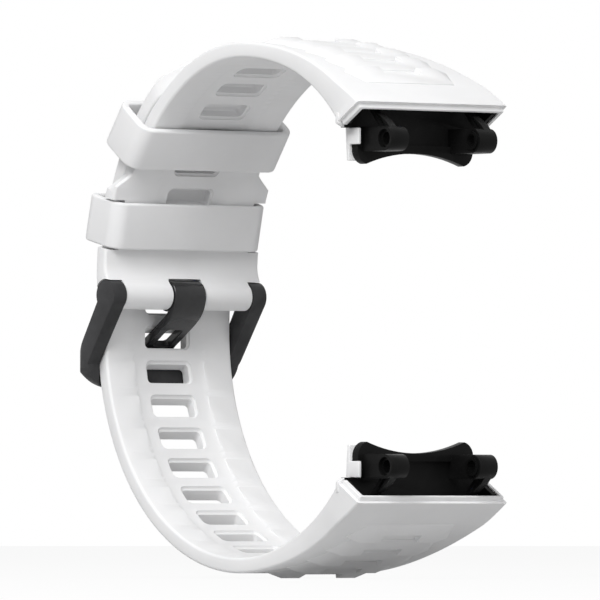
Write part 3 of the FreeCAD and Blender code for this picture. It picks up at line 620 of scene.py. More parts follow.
class PathRepeater:
    """A Geometry Nodes tree that stands copies of a piece along a curve, square to it."""

    RAIL_STEP = 0.25
    INPUTS = (("Path", "Object"), ("First", "Float"), ("Pitch", "Float"), ("Count", "Int"),
              ("Finish", "Material"))
    NODES = (("inputs", "NodeGroupInput", {}), ("output", "NodeGroupOutput", {}),
             ("rail", "GeometryNodeObjectInfo", {}), ("points", "GeometryNodePoints", {}),
             ("index", "GeometryNodeInputIndex", {}),
             ("distance", "ShaderNodeMath", {"operation": "MULTIPLY_ADD"}),
             ("sample", "GeometryNodeSampleCurve", {"mode": "LENGTH"}),
             ("stand", "GeometryNodeSetPosition", {}),
             ("across", "FunctionNodeAlignRotationToVector", {"axis": "X"}),
             ("along", "FunctionNodeAlignRotationToVector", {"axis": "Y", "pivot_axis": "X"}),
             ("copies", "GeometryNodeInstanceOnPoints", {}),
             ("solid", "GeometryNodeRealizeInstances", {}), ("finish", "GeometryNodeSetMaterial", {}))
    WIRES = (("inputs", "Path", "rail", "Object"), ("inputs", "Count", "points", "Count"),
             ("index", 0, "distance", 0), ("inputs", "Pitch", "distance", 1),
             ("inputs", "First", "distance", 2), ("rail", "Geometry", "sample", "Curves"),
             ("distance", 0, "sample", "Length"), ("points", 0, "stand", "Geometry"),
             ("sample", "Position", "stand", "Position"), ("across", 0, "along", "Rotation"),
             ("sample", "Tangent", "along", "Vector"), ("stand", 0, "copies", "Points"),
             ("inputs", "Geometry", "copies", "Instance"), ("along", 0, "copies", "Rotation"),
             ("copies", 0, "solid", 0), ("solid", 0, "finish", "Geometry"),
             ("inputs", "Finish", "finish", "Material"), ("finish", 0, "output", 0))

    def __init__(self) -> None:
        """Builds the tree, whose inputs are the path, the first distance, the pitch and the count."""
        self.tree = bpy.data.node_groups.new("along_strap", "GeometryNodeTree")
        face = self.tree.interface
        for in_out in ("OUTPUT", "INPUT"):
            face.new_socket("Geometry", in_out=in_out, socket_type="NodeSocketGeometry")
        self.ids = {name: face.new_socket(name, in_out="INPUT", socket_type="NodeSocket" + kind).identifier
                    for name, kind in self.INPUTS}
        nodes = {name: add_node(self.tree, kind, **settings) for name, kind, settings in self.NODES}
        nodes["across"].inputs["Vector"].default_value = ACROSS
        for source, out, target, into in self.WIRES:
            self.tree.links.new(nodes[source].outputs[out], nodes[target].inputs[into])

    def along(self, piece: bpy.types.Object, path: ArcPath, first: float, pitch: float, count: int,
              finish: bpy.types.Material) -> bpy.types.Object:
        """Repeats a piece along a path.

        Args:
            piece: drawn about the origin, local x across the strap and y along it; it is used up.
            path: the path to follow.
            first: distance of the first copy.
            pitch: distance between copies.
            count: number of copies.
            finish: material of the copies.

        Returns:
            The copies as one plain mesh.
        """
        rail = self._rail(path)
        modifier = piece.modifiers.new("along", "NODES")
        modifier.node_group = self.tree
        values = {"Path": rail, "First": first, "Pitch": pitch, "Count": count, "Finish": finish}
        for name, value in values.items():
            modifier[self.ids[name]] = value
        settle(piece)
        bpy.data.objects.remove(rail)
        return piece

    @classmethod
    def _rail(cls, path: ArcPath) -> bpy.types.Object:
        """Draws a fine poly curve along a path.

        Args:
            path: the path.

        Returns:
            The curve object.
        """
        curve = bpy.data.curves.new("rail", "CURVE")
        curve.dimensions = "3D"
        spline = curve.splines.new("POLY")
        count = int(path.length / cls.RAIL_STEP) + 2
        spline.points.add(count - 1)
        for k in range(count):
            spline.points[k].co = (*path.at(path.length * k / (count - 1)), 1.0)
        return add_object("rail", curve)


# ---------------------------------------------------------------- finishes
class Paint:
    """A node material put together step by step on its Principled shader."""

    def __init__(self, name: str) -> None:
        """Starts the material.

        Args:
            name: its name.
        """
        self.material = bpy.data.materials.new(name)
        self.material.use_nodes = True
        self.tree = self.material.node_tree
        self.surface = self.tree.nodes["Principled BSDF"]

    def set(self, values: dict[str, Any]) -> None:
        """Sets sockets of the shader by name."""
        for name, value in values.items():
            self.surface.inputs[name].default_value = value

    def texture(self, kind: str, values: dict[str, float], **settings: Any) -> bpy.types.NodeSocket:
        """Adds a texture on Object coordinates.

        Args:
            kind: the texture node's type.
            values: what its inputs hold, scales in features per metre.
            **settings: its own properties.

        Returns:
            Its value socket.
        """
        node = add_node(self.tree, kind, values, **settings)
        where = add_node(self.tree, "ShaderNodeTexCoord")
        self.tree.links.new(where.outputs["Object"], node.inputs["Vector"])
        return node.outputs["Fac"]

    def noise(self, scale: float, detail: float) -> bpy.types.NodeSocket:
        """A noise of this many features per metre."""
        return self.texture("ShaderNodeTexNoise", {"Scale": scale, "Detail": detail, "Roughness": 0.55})

    def spread(self, source: bpy.types.NodeSocket, low: float, high: float,
               span: tuple[float, float] = (0.3, 0.7)) -> bpy.types.NodeSocket:
        """Spreads a value over a new range.

        Args:
            source: the value.
            low: the least result.
            high: the greatest result.
            span: the range that the value mostly lies in, which is a noise's unless given.

        Returns:
            The result's socket.
        """
        node = add_node(self.tree, "ShaderNodeMapRange",
                        {"From Min": span[0], "From Max": span[1], "To Min": low, "To Max": high})
        self.tree.links.new(source, node.inputs["Value"])
        return node.outputs["Result"]

    def clouds(self, dark: tuple[float, ...], pale: tuple[float, ...], scale: float, detail: float) -> None:
        """Colours the surface between two tones in soft clouds.

        Args:
            dark: the darker tone.
            pale: the paler tone.
            scale: clouds per metre.
            detail: octaves of the noise.
        """
        mix = add_node(self.tree, "ShaderNodeMix", {"A": (*dark, 1.0), "B": (*pale, 1.0)}, data_type="RGBA")
        self.tree.links.new(self.spread(self.noise(scale, detail), 0.0, 1.0), mix.inputs["Factor"])
        self.tree.links.new(mix.outputs["Result"], self.surface.inputs["Base Color"])

    def rough(self, source: bpy.types.NodeSocket) -> None:
        """Drives the roughness with a value."""
        self.tree.links.new(source, self.surface.inputs["Roughness"])

    def bump(self, source: bpy.types.NodeSocket, strength: float, depth: float) -> None:
        """Raises the surface with a value.

        Args:
            source: the value.
            strength: share of the depth that shows.
            depth: height in metres of a full step.
        """
        node = add_node(self.tree, "ShaderNodeBump", {"Strength": strength, "Distance": depth})
        self.tree.links.new(source, node.inputs["Height"])
        self.tree.links.new(node.outputs["Normal"], self.surface.inputs["Normal"])


@dataclass(frozen=True)
class Silicone:
    """Matte moulded silicone: faint cloudiness, a fine moulded grain and a soft sheen."""

    name: str = "silicone"
    light: tuple[float, float, float] = (0.845, 0.845, 0.85)
    dark: tuple[float, float, float] = (0.80, 0.80, 0.805)
    roughness: float = 0.68
    duller: float = 0.06
    glossier: float = 0.05
    clouds: tuple[float, float] = (90.0, 4.0)
    patches: tuple[float, float] = (420.0, 3.0)
    grain: tuple[float, float] = (5200.0, 2.0)
    grain_strength: float = 0.35
    grain_depth: float = 0.000012
    soft_depth: tuple[float, float, float] = (0.0012, 0.0011, 0.001)
    gloss: float = 0.22

    def build(self) -> bpy.types.Material:
        """Mixes the finish.

        Returns:
            The material.
        """
        paint = Paint(self.name)
        paint.clouds(self.dark, self.light, *self.clouds)
        paint.rough(paint.spread(paint.noise(*self.patches), self.roughness - self.glossier,
                                 self.roughness + self.duller))
        paint.bump(paint.noise(*self.grain), self.grain_strength, self.grain_depth)
        paint.set({"Subsurface Weight": 0.08, "Subsurface Radius": self.soft_depth,
                   "Subsurface Scale": 1.0, "Specular IOR Level": self.gloss})
        return paint.material


@dataclass(frozen=True)
class CoatedMetal:
    """Black coated metal: uneven gloss, fine grain and patches of a slightly paler tone."""

    name: str
    dark: tuple[float, float, float] = (0.012, 0.012, 0.013)
    pale: tuple[float, float, float] = (0.024, 0.024, 0.025)
    roughness: float = 0.36
    spread: float = 0.06
    clouds: tuple[float, float] = (260.0, 5.0)
    patches: tuple[float, float] = (700.0, 4.0)
    grain: tuple[float, float] = (6000.0, 3.0)
    grain_strength: float = 0.3
    grain_depth: float = 0.00001
    coat: float = 0.0
    coat_roughness: float = 0.12
    gloss: float = 0.45

    def build(self) -> bpy.types.Material:
        """Mixes the finish.

        Returns:
            The material.
        """
        paint = Paint(self.name)
        paint.clouds(self.dark, self.pale, *self.clouds)
        paint.rough(paint.spread(paint.noise(*self.patches), self.roughness - self.spread,
                                 self.roughness + self.spread))
        paint.bump(paint.noise(*self.grain), self.grain_strength, self.grain_depth)
        paint.set({"Specular IOR Level": self.gloss, "Coat Weight": self.coat,
                   "Coat Roughness": self.coat_roughness})
        return paint.material


@dataclass(frozen=True)
class TurnedSteel:
    """Plain turned steel with fine rings round the pin's axis."""

    name: str = "bar_steel"
    color: tuple[float, float, float] = (0.55, 0.55, 0.56)
    roughness: float = 0.3
    glossier: float = 0.08
    duller: float = 0.1
    ring_scale: float = 2400.0
    ring_waver: float = 1.5
    ring_strength: float = 0.25
    ring_depth: float = 0.00001

    def build(self) -> bpy.types.Material:
        """Mixes the finish.

        Returns:
            The material.
        """
        paint = Paint(self.name)
        paint.set({"Metallic": 1.0, "Base Color": (*self.color, 1.0)})
        rings = paint.texture("ShaderNodeTexWave", {"Scale": self.ring_scale, "Distortion": self.ring_waver},
                              bands_direction="Y")
        paint.rough(paint.spread(rings, self.roughness - self.glossier, self.roughness + self.duller,
                                 (0.0, 1.0)))
        paint.bump(rings, self.ring_strength, self.ring_depth)
        return paint.material


class Finishes:
    """Every material of the strap, made once."""

    def __init__(self) -> None:
        """Builds the materials."""
        self.silicone = Silicone().build()
        self.keeper = Silicone("keeper_silicone", (0.83, 0.83, 0.835), (0.79, 0.79, 0.795)).build()
        self.frame = CoatedMetal("buckle_coating", (0.036, 0.036, 0.037), (0.058, 0.058, 0.06),
                                 roughness=0.34, gloss=0.06).build()
        self.tongue = CoatedMetal("tongue_coating", roughness=0.2, spread=0.04, coat=0.1,
                                  gloss=0.26).build()
        self.connector = CoatedMetal("connector_coating", (0.004, 0.004, 0.004), (0.007, 0.007, 0.007),
                                     roughness=0.4, grain=(4200.0, 3.0), gloss=0.07).build()
        self.bush = CoatedMetal("bush_coating", (0.003, 0.003, 0.003), (0.007, 0.007, 0.007),
                                roughness=0.3, gloss=0.08).build()
        self.steel = TurnedSteel().build()


# ---------------------------------------------------------------- shared parts of both straps
@dataclass
class SlotTool:
    """A cutter for a rounded slot whose wrist-side rim is widely rounded and outer rim barely."""

    width: float
    length: float
    corner: float
    lean: float
    depth: float
    sunk: float
    near_round: float = 0.34
    far_round: float = 0.15
    blind: bool = False
    near_over: float = 0.9
    near_flare: float = 0.25
    rim_lead: float = 0.2
    rim_flare: float = 0.06
    far_over: float = 1.6
    far_flare: float = 0.2
    end_taper: float = 0.3
    steps: int = 6

    def build(self, name: str) -> bpy.types.Object:
        """Makes the cutter about the origin: x across, y along the strap, z away from the wrist.

        Args:
            name: the object's name.

        Returns:
            The cutter.
        """
        drop = math.tan(math.radians(self.lean))
        turns = [QUARTER * k / self.steps for k in range(self.steps + 1)]
        rows = [(-self.near_over, self.near_round + self.near_flare),
                (self.sunk - self.rim_lead, self.near_round + self.rim_flare)]
        rows += [(self.sunk + self.near_round * math.sin(a), self.near_round * math.cos(a)) for a in turns]
        if self.blind:
            rows += [(self.depth - self.end_taper, 0.0), (self.depth, -self.end_taper)]
        else:
            rows += [(self.depth - self.far_round * (1.0 - math.sin(a)),
                      self.far_round * (1.0 - math.cos(a))) for a in turns]
            rows.append((self.depth + self.far_over, self.far_round + self.far_flare))
        return mesh_of(name, [self._loop(grow, z * drop, z) for z, grow in rows])

    def _loop(self, grow: float, shift: float, z: float) -> list[Vector]:
        """Draws the slot's outline.

        Args:
            grow: how far it is grown all round.
            shift: how far it is moved along the strap.
            z: its height.

        Returns:
            The outline.
        """
        outline = rounded_oblong(self.width / 2.0 + grow, self.length / 2.0 + grow, self.corner + grow,
                                 self.steps)
        return [Vector((x, shift + y, z)) for x, y in outline]


@dataclass
class Channel:
    """The shallow channel with sloping walls that a row of openings lies in."""

    width: float = 11.6
    depth: float = 0.3
    run_out: float = 3.4
    step: float = 1.0
    over: float = 0.6
    over_flare: float = 1.8
    wall_out: float = 0.6
    wall_in: float = 0.3

    def tool(self, path: ArcPath, first: float, last: float, side: Side) -> bpy.types.Object:
        """Sweeps the tool that sinks the channel into the wrist face.

        Args:
            path: the wrist-side line.
            first: distance of the first opening.
            last: distance of the last opening.
            side: where the outer face lies.

        Returns:
            The tool.
        """
        begin = first - self.run_out
        end = last + self.run_out
        half = self.width / 2.0
        steps = int((end - begin) / self.step)
        right = ((half + self.over_flare, -self.over), (half + self.wall_out, 0.0),
                 (half - self.wall_in, self.depth))
        corners = right + tuple((-x, z) for x, z in reversed(right))
        loops = []
        for k in range(steps + 1):
            spot = path.frame(begin + (end - begin) * k / steps)
            loops.append([spot @ Vector((x, 0.0, -side.value * z)) for x, z in corners])
        return mesh_of("channel", loops)


@dataclass
class CaseEnd:
    """The hollow end of a strap half: its lip, its pocket and the flap behind the connector."""

    lines: StrapLines
    shell_wall: float = 1.1
    lip_raise: float = 0.7
    lip_inset: float = 0.5
    lip_root: float = 0.3
    lip_edge: float = 0.16
    mouth_over: float = 0.5
    mouth_front_x: float = 3.0
    mouth_below: float = 1.0
    pocket_edge: float = 0.25
    end_gap: float = 0.35
    plate_back_x: float = -5.2
    flange_w: float = 20.0
    flange_top_z: float = -5.7
    flange_end_z: float = -8.4
    flap_w: float = 21.0
    sill_drop: float = 0.9
    sill_back_x: float = -5.05
    wall_lap: float = 2.0
    wall_edge: float = 0.14
    flap_t: float = 0.5
    flap_top_z: float = 0.4
    flap_step_z: float = -0.9
    flap_end_z: float = -7.9
    flap_edge: float = 0.12
    cheek_front_x: float = -3.1
    cheek_slack: float = 0.02
    arc_r: float = 24.35
    arc_centre_z: float = -30.8

    def vectors(self) -> tuple[Vector, Vector, Vector]:
        """Unit vectors at the end face.

        Returns:
            The ways inwards along it, outwards from it, and back along the skin.
        """
        tilt = math.radians(self.lines.face_tilt)
        rise = math.radians(self.lines.skin_angle - self.lines.face_tilt)
        along = -pointing(tilt)
        return along, -right_of(along), Vector((-math.cos(rise), 0.0, math.sin(rise)))

    def slanted(self, size: float) -> float:
        """A size square to the skin, measured along the end face."""
        return size / math.sin(math.radians(self.lines.skin_angle))

    def floor(self) -> Vector:
        """The point of the end face where the pocket's mouth ends."""
        return self.vectors()[0] * (self.lines.rim_length - self.end_gap)

    def lip(self) -> bpy.types.Object:
        """Makes the raised lip round the mouth, solid until the pocket is cut.

        Returns:
            The lip.
        """
        along, out, _ = self.vectors()
        root = out * -self.lip_root
        a = along * self.slanted(self.lip_inset) + root
        b = self.floor() + root
        lift = out * (self.lip_root + self.lip_raise)
        return prism("lip", [(p.x, p.z) for p in (a, b, b + lift, a + lift)],
                     self.lines.case_w - 2.0 * self.lip_inset, round_by=self.lip_edge)

    def pocket(self) -> bpy.types.Object:
        """Makes the tool that hollows the end.

        Returns:
            The tool.
        """
        along, _, back = self.vectors()
        mouth = along * self.slanted(self.shell_wall) - back * self.slanted(self.lip_raise + self.mouth_over)
        deep = mouth + back * ((mouth.x - self.plate_back_x) / -back.x)
        low = self.flange_end_z - self.mouth_below
        corners = [(mouth.x, mouth.z), (deep.x, deep.z), (self.plate_back_x, low), (self.mouth_front_x, low)]
        return prism("pocket", corners, self.lines.case_w - 2.0 * self.shell_wall, round_by=self.pocket_edge)

    def wall_end(self) -> bpy.types.Object:
        """Makes the lower end of the pocket's side wall, slanting outwards and up.

        Returns:
            The piece on one side.
        """
        floor = self.floor()
        low = floor.z - self.sill_drop
        top = low + self.wall_lap
        outer = self.lines.case_w / 2.0
        inner = outer - self.shell_wall
        ring = ((inner, low), (outer, low + self.shell_wall / 2.0), (outer, top), (inner, top))
        end = mesh_of("wall_end", [[Vector((x, y, z)) for y, z in ring] for x in (self.sill_back_x, floor.x)])
        soften(end, self.wall_edge, 2)
        return end

    def flap(self) -> bpy.types.Object:
        """Makes the silicone behind the connector's plate and round its side edges.

        Returns:
            The flap, with its round free edge.
        """
        x = self.plate_back_x
        t = self.flap_t
        back = prism("flap", [(x, self.flap_top_z), (x, self.flap_end_z), (x - t, self.flap_end_z),
                              (x - 2.0 * t, self.flap_step_z)], self.flap_w, round_by=self.flap_edge)
        top = self.floor().z - self.sill_drop
        root = x - t + self.cheek_slack
        cheek_t = (self.flap_w - self.flange_w) / 2.0
        cheek = prism("cheek", [(root, top), (root, self.flange_top_z),
                                (self.cheek_front_x, self.flange_top_z), (self.cheek_front_x, top)],
                      cheek_t - self.cheek_slack, (self.flange_w + cheek_t) / 2.0, round_by=self.wall_edge)
        carve_pair(back, cheek, Cut.ADD)
        ring = circle(self.arc_r, RELIEF_FACETS, self.arc_centre_z)
        loops = [[Vector((x + dx, y, z)) for y, z in ring] for dx in (-TOOL_REACH, TOOL_REACH)]
        carve(back, mesh_of("relief", loops), Cut.REMOVE)
        return back


@dataclass
class RaisedRows:
    """Raised wedges across the outside of a strap near the case, each rising away from the case."""

    count: int = 5
    start: float = 5.6
    pitch: float = 4.6
    length: float = 3.9
    near_w: float = 15.0
    near_slope: float = 0.2
    base_w: float = 17.8
    top_w: float = 12.8
    near_height: float = 0.12
    height: float = 0.8
    sunk: float = 0.5
    notch_w: float = 6.3
    notch_l: float = 1.5
    edge_r: float = 0.13

    def wedge(self, side: Side) -> bpy.types.Object:
        """Makes one wedge about the origin, its teeth at the far end; y runs towards the case.

        Args:
            side: where the outer face lies.

        Returns:
            The wedge, its base sunk into the strap.
        """
        loops = []
        for y, base, top, height in ((0.0, self.near_w, self.near_w - self.near_slope, self.near_height),
                                     (-self.length, self.base_w, self.top_w, self.height)):
            points = ((-base / 2.0, -self.sunk), (base / 2.0, -self.sunk), (base / 2.0, 0.0),
                      (top / 2.0, height), (-top / 2.0, height), (-base / 2.0, 0.0))
            loops.append([Vector((x, y, -side.value * z)) for x, z in points])
        wedge = mesh_of("row", loops)
        box = oblong(self.notch_w / 2.0, -2.0, 2.0)
        ends = (-self.length - 1.0, -self.length + self.notch_l)
        carve(wedge, mesh_of("notch", [[Vector((x, y, z)) for x, z in box] for y in ends]), Cut.REMOVE)
        soften(wedge, self.edge_r, 2)
        return wedge


def band_ribs(lines: StrapLines, path: ArcPath, side: Side, first: float,
              extra: list[float]) -> list[tuple[Vector, Vector]]:
    """Places rib pairs along a band up to its case end.

    Args:
        lines: the shared sizes.
        path: the wrist-side line.
        side: where the outer face lies.
        first: distance of the last rib already made.
        extra: distances that must have a rib.

    Returns:
        Pairs of wrist-face and outer-face points.
    """
    lift = side.value * lines.thickness(side)
    begin = path.length - lines.thicken_run
    stations = [first + k for k in range(1, int(begin - first))] + extra
    pairs = [(path.at(s), path.at(s, lift)) for s in sorted(stations)]
    outer = lines.outer_line(path, side)
    steps = int(lines.thicken_run)
    for k in range(steps + 1):
        share = k / steps
        pairs.append((path.at(begin + lines.thicken_run * share), outer.at(outer.length * share)))
    return pairs


def finish_case_end(body: bpy.types.Object, lines: StrapLines, path: ArcPath, side: Side,
                    repeater: PathRepeater, finish: bpy.types.Material) -> None:
    """Adds the raised rows and the hollow end with its lip and flap to a band.

    Args:
        body: the band.
        lines: the shared sizes.
        path: the wrist-side line.
        side: where the outer face lies.
        repeater: what stands the rows along the band.
        finish: the rows' material.
    """
    rows = RaisedRows()
    outer = lines.outer_line(path, side)
    last = outer.length - rows.start - rows.pitch * (rows.count - 1)
    wedges = repeater.along(rows.wedge(side), outer, max(last, 0.0), rows.pitch, rows.count, finish)
    carve(body, wedges, Cut.ADD)
    end = CaseEnd(lines)
    spot = lines.case_matrix(path, side)
    carve(body, place(end.lip(), spot), Cut.ADD)
    carve_pair(body, place(end.wall_end(), spot), Cut.ADD)
    carve(body, place(end.pocket(), spot), Cut.REMOVE)
    carve(body, place(end.flap(), spot), Cut.ADD)


# ---------------------------------------------------------------- the two halves
@dataclass
class ShortStrap:
    """The buckle half: pin tube, blend, shoulders and neck, band with vents, hollow case end."""

    lines: StrapLines
    repeater: PathRepeater
    finish: bpy.types.Material
    channel: Channel = field(default_factory=Channel)
    tube_r: float = 1.95
    tube_blend: float = 3.9
    tube_steps: int = 18
    blend_steps: int = 12
    plain_from: float = 18.0
    rib_gap: float = 0.25
    shoulder_step: float = 2.5
    shoulder_top: float = 15.0
    flare_top: float = 16.4
    flare_step: float = 0.7
    flare_fade: float = 0.6
    neck_step: float = 0.3
    neck_clear: float = 0.3
    arm_head_r: float = 2.25
    seat_top: float = 0.4
    notch_edge: float = 0.3
    tool_w: float = 8.0
    bar_r: float = 0.95
    tongue_notch_w: float = 5.8
    tongue_notch_top: float = 2.4
    slot_w: float = 7.3
    vent_l: float = 2.4
    vent_corner: float = 0.6
    vent_depth: float = 2.0
    vent_pitch: float = 4.81
    vent_first: float = 11.2
    vent_count: int = 6
    edge_r: float = 0.42

    def blend_centre(self) -> Vector:
        """Finds the centre of the arc between the wrist face and the pin tube.

        Returns:
            The centre.
        """
        cx, cz = self.lines.arc_centre()
        big = self.lines.short_arcs[0][0] - self.tube_blend
        small = self.tube_r + self.tube_blend
        span = math.hypot(cx, cz)
        along = (span ** 2 + small ** 2 - big ** 2) / (2.0 * span)
        off = math.sqrt(small ** 2 - along ** 2)
        return Vector(((cx * along - cz * off) / span, 0.0, (cz * along + cx * off) / span))

    def ribs(self, path: ArcPath) -> list[tuple[Vector, Vector]]:
        """Places the band's ribs from under the pin to the case end.

        Args:
            path: the wrist-side line.

        Returns:
            Pairs of wrist-face and outer-face points.
        """
        lines = self.lines
        blend = self.blend_centre()
        cx, cz = lines.arc_centre()
        spoke = math.atan2(blend.z - cz, cx - blend.x)
        heel_s = lines.short_arcs[0][0] * spoke
        toe_turn = math.atan2(-blend.z, -blend.x) % (2.0 * math.pi)
        heel_turn = math.pi - spoke
        back = path.at(0.0, lines.short_t)
        touch = math.atan2(back.z, back.x) + math.acos(self.tube_r / math.hypot(back.x, back.z))
        toe = toe_turn - math.pi
        low = (toe + touch) / 2.0 + math.pi
        pairs = []
        for k in range(self.tube_steps + 1):
            share = k / self.tube_steps
            inner = low + (toe + 2.0 * math.pi - low) * share
            outer = low + (touch - low) * share
            pairs.append((polar(0.0, 0.0, self.tube_r, inner), polar(0.0, 0.0, self.tube_r, outer)))
        touch_point = polar(0.0, 0.0, self.tube_r, touch)
        low_part = (back - touch_point).length
        whole = low_part + (path.at(heel_s, lines.short_t) - back).length
        for k in range(1, self.blend_steps + 1):
            share = k / self.blend_steps
            inner = polar(blend.x, blend.z, self.tube_blend, toe_turn + (heel_turn - toe_turn) * share)
            reach = whole * share
            if reach <= low_part:
                outer = touch_point.lerp(back, reach / low_part)
            else:
                outer = path.at(heel_s * (reach - low_part) / (whole - low_part), lines.short_t)
            pairs.append((inner, outer))
        return pairs + band_ribs(lines, path, Side.LEFT, heel_s, self.step_stations(heel_s))

    def step_stations(self, heel_s: float) -> list[float]:
        """Lists the distances where the width changes, so that each step has its own ribs.

        Args:
            heel_s: distance where the band begins.

        Returns:
            The distances past that.
        """
        radius = self.lines.short_arcs[0][0]
        marks = [radius * math.asin((top - self.lines.short_start[1]) / radius) + shift
                 for top in (self.shoulder_top, self.flare_top)
                 for shift in (-self.rib_gap, 0.0, self.rib_gap)]
        return [s for s in marks if s > heel_s]

    def half_width(self, point: Vector, path: ArcPath) -> float:
        """Works out half the blank's width: wide shoulders below, the plain band above.

        Args:
            point: a point of the band.
            path: the wrist-side line.

        Returns:
            Half the width there.
        """
        half = self.lines.strap_w / 2.0
        if point.x > self.lines.arc_centre()[0] - self.plain_from:
            return self.lines.half_width(point.x, path, Side.LEFT)
        if point.z <= self.shoulder_top:
            return half + self.shoulder_step
        if point.z < self.flare_top:
            share = (point.z - self.shoulder_top) / (self.flare_top - self.shoulder_top)
            return half + self.shoulder_step + (self.flare_step - self.shoulder_step) * share
        return half + self.flare_step * (1.0 - min((point.z - self.flare_top) / self.flare_fade, 1.0))

    def neck_tools(self) -> list[bpy.types.Object]:
        """Makes the tools for the lower keeper's notches and the buckle arms' seats.

        Returns:
            The tools on one side.
        """
        lines = self.lines
        rise = (lines.keeper_l + 2.0 * self.neck_clear) / 2.0
        spot, out, up = lines.spoke(KEEPER_ANGLES["lower"], lines.short_arcs[0][0] + lines.short_t / 2.0)
        deep = 3.0 * lines.short_t
        corners = ((-deep, -rise), (deep, -rise), (deep, rise), (-deep, rise))
        ring = [spot + out * a + up * b for a, b in corners]
        flank = lines.strap_w / 2.0 + self.tool_w / 2.0
        return [prism("neck", [(p.x, p.z) for p in ring], self.tool_w, flank + self.neck_step,
                      round_by=self.notch_edge),
                prism("seat", circle(self.arm_head_r, SEAT_FACETS), self.tool_w, flank),
                prism("below", oblong(TOOL_REACH, -TOOL_REACH, self.seat_top), self.tool_w, flank)]

    def build(self) -> bpy.types.Object:
        """Moulds the half.

        Returns:
            The finished mesh.
        """
        lines = self.lines
        path = lines.short()
        loops = [section(a, b, self.half_width(a, path), self.half_width(b, path), self.edge_r)
                 for a, b in self.ribs(path)]
        body = mesh_of("short_strap_band", loops)
        for tool in self.neck_tools():
            carve_pair(body, tool, Cut.REMOVE)
        finish_case_end(body, lines, path, Side.LEFT, self.repeater, self.finish)
        vent = SlotTool(self.slot_w, self.vent_l, self.vent_corner, 0.0, self.vent_depth,
                        self.channel.depth, blind=True)
        vents = vent.build("vents")
        place(vents, Matrix.Scale(-1.0, 4, UP))
        last = self.vent_first + self.vent_pitch * (self.vent_count - 1)
        carve(body, self.channel.tool(path, self.vent_first, last, Side.LEFT), Cut.REMOVE)
        carve(body, self.repeater.along(vents, path, self.vent_first, self.vent_pitch, self.vent_count,
                                        self.finish), Cut.REMOVE)
        bore_w = 2.0 * lines.strap_w
        carve(body, prism("pin_bore", circle(self.bar_r, BORE_FACETS), bore_w), Cut.REMOVE)
        notch = oblong(TOOL_REACH, -TOOL_REACH, self.tongue_notch_top)
        carve(body, prism("tongue_notch", notch, self.tongue_notch_w, round_by=self.notch_edge), Cut.REMOVE)
        return body


@dataclass
class LongStrap:
    """The slotted half: rounded tip, band with slots and ramps, hollow case end."""

    lines: StrapLines
    repeater: PathRepeater
    finish: bpy.types.Material
    channel: Channel = field(default_factory=Channel)
    tip_round: float = 6.5
    tip_least: float = 0.2
    tip_ribs: tuple[float, ...] = (0.02, 0.08, 0.2, 0.4, 0.7, 1.2, 1.8)
    slot_w: float = 7.3
    slot_l: float = 2.7
    slot_corner: float = 0.6
    slot_lean: float = 20.0
    slot_pitch: float = 4.87
    slot_first: float = 0.7
    slots_below: int = 9
    slots_above: int = 6
    ramp_w: float = 4.4
    ramp_y: float = 8.3
    ramp_height: float = 0.2
    ramp_slope: float = 0.9
    ramp_root: float = 0.15
    ramp_skin: float = 0.001
    ramp_gap: float = 0.02
    ramp_start: float = 0.75
    crest_at: float = 0.74
    crest_l: float = 0.3
    edge_r: float = 0.42

    def tip_half(self, x: float) -> float:
        """Works out half the width where the tip rounds off.

        Args:
            x: where along X.

        Returns:
            Half the width there.
        """
        half = self.lines.strap_w / 2.0
        tip_x = self.lines.long()[0].at(0.0, -self.lines.long_t).x
        radius = (half ** 2 + self.tip_round ** 2) / (2.0 * self.tip_round)
        run = x - (tip_x - radius)
        if x < tip_x - self.tip_round:
            return half
        return math.sqrt(max(radius ** 2 - run ** 2, self.tip_least ** 2))

    def half_width(self, point: Vector, path: ArcPath) -> float:
        """Works out half the width.

        Args:
            point: a point of the band.
            path: the wrist-side line.

        Returns:
            Half the width there.
        """
        if point.z > 0.0:
            return min(self.tip_half(point.x), self.lines.strap_w / 2.0)
        return self.lines.half_width(point.x, path, Side.RIGHT)

    def ramp(self) -> bpy.types.Object:
        """Makes the two shallow wedges beside a slot, about the origin, rising towards the case.

        Returns:
            Both wedges as one object.
        """
        crest = self.slot_pitch * self.crest_at
        span = self.slot_pitch - self.ramp_gap
        half = self.ramp_w / 2.0
        top = half - self.ramp_slope
        wedges = []
        for middle in (self.ramp_y, -self.ramp_y):
            foot = (middle - half, middle + half, 0.0, span)
            ridge = level(middle - top, middle + top, crest - self.crest_l, crest, -self.ramp_height)
            skin = level(*foot, -self.ramp_skin)
            wedges.append(mesh_of("ramp", [level(*foot, self.ramp_root), skin, ridge]))
        return join(wedges)

    def build(self) -> bpy.types.Object:
        """Moulds the half.

        Returns:
            The finished mesh.
        """
        lines = self.lines
        path, zero = lines.long()
        ribs = [(path.at(s), path.at(s, -lines.long_t)) for s in self.tip_ribs]
        ribs += band_ribs(lines, path, Side.RIGHT, self.tip_ribs[-1], [])
        loops = [section(a, b, self.half_width(a, path), self.half_width(b, path), self.edge_r)
                 for a, b in ribs]
        body = mesh_of("long_strap_band", loops)
        finish_case_end(body, lines, path, Side.RIGHT, self.repeater, self.finish)
        first = zero + self.slot_first - self.slot_pitch * self.slots_above
        count = self.slots_above + self.slots_below
        last = first + self.slot_pitch * (count - 1)
        carve(body, self.channel.tool(path, first, last, Side.RIGHT), Cut.REMOVE)
        ramp_s = zero + self.slot_first + self.slot_pitch * self.ramp_start
        ramps = self.repeater.along(self.ramp(), path, ramp_s, self.slot_pitch, self.slots_below, self.finish)
        carve(body, ramps, Cut.ADD)
        slot = SlotTool(self.slot_w, self.slot_l, self.slot_corner, self.slot_lean, lines.long_t,
                        self.channel.depth)
        slots = self.repeater.along(slot.build("slots"), path, first, self.slot_pitch, count, self.finish)
        carve(body, slots, Cut.REMOVE)
        return body


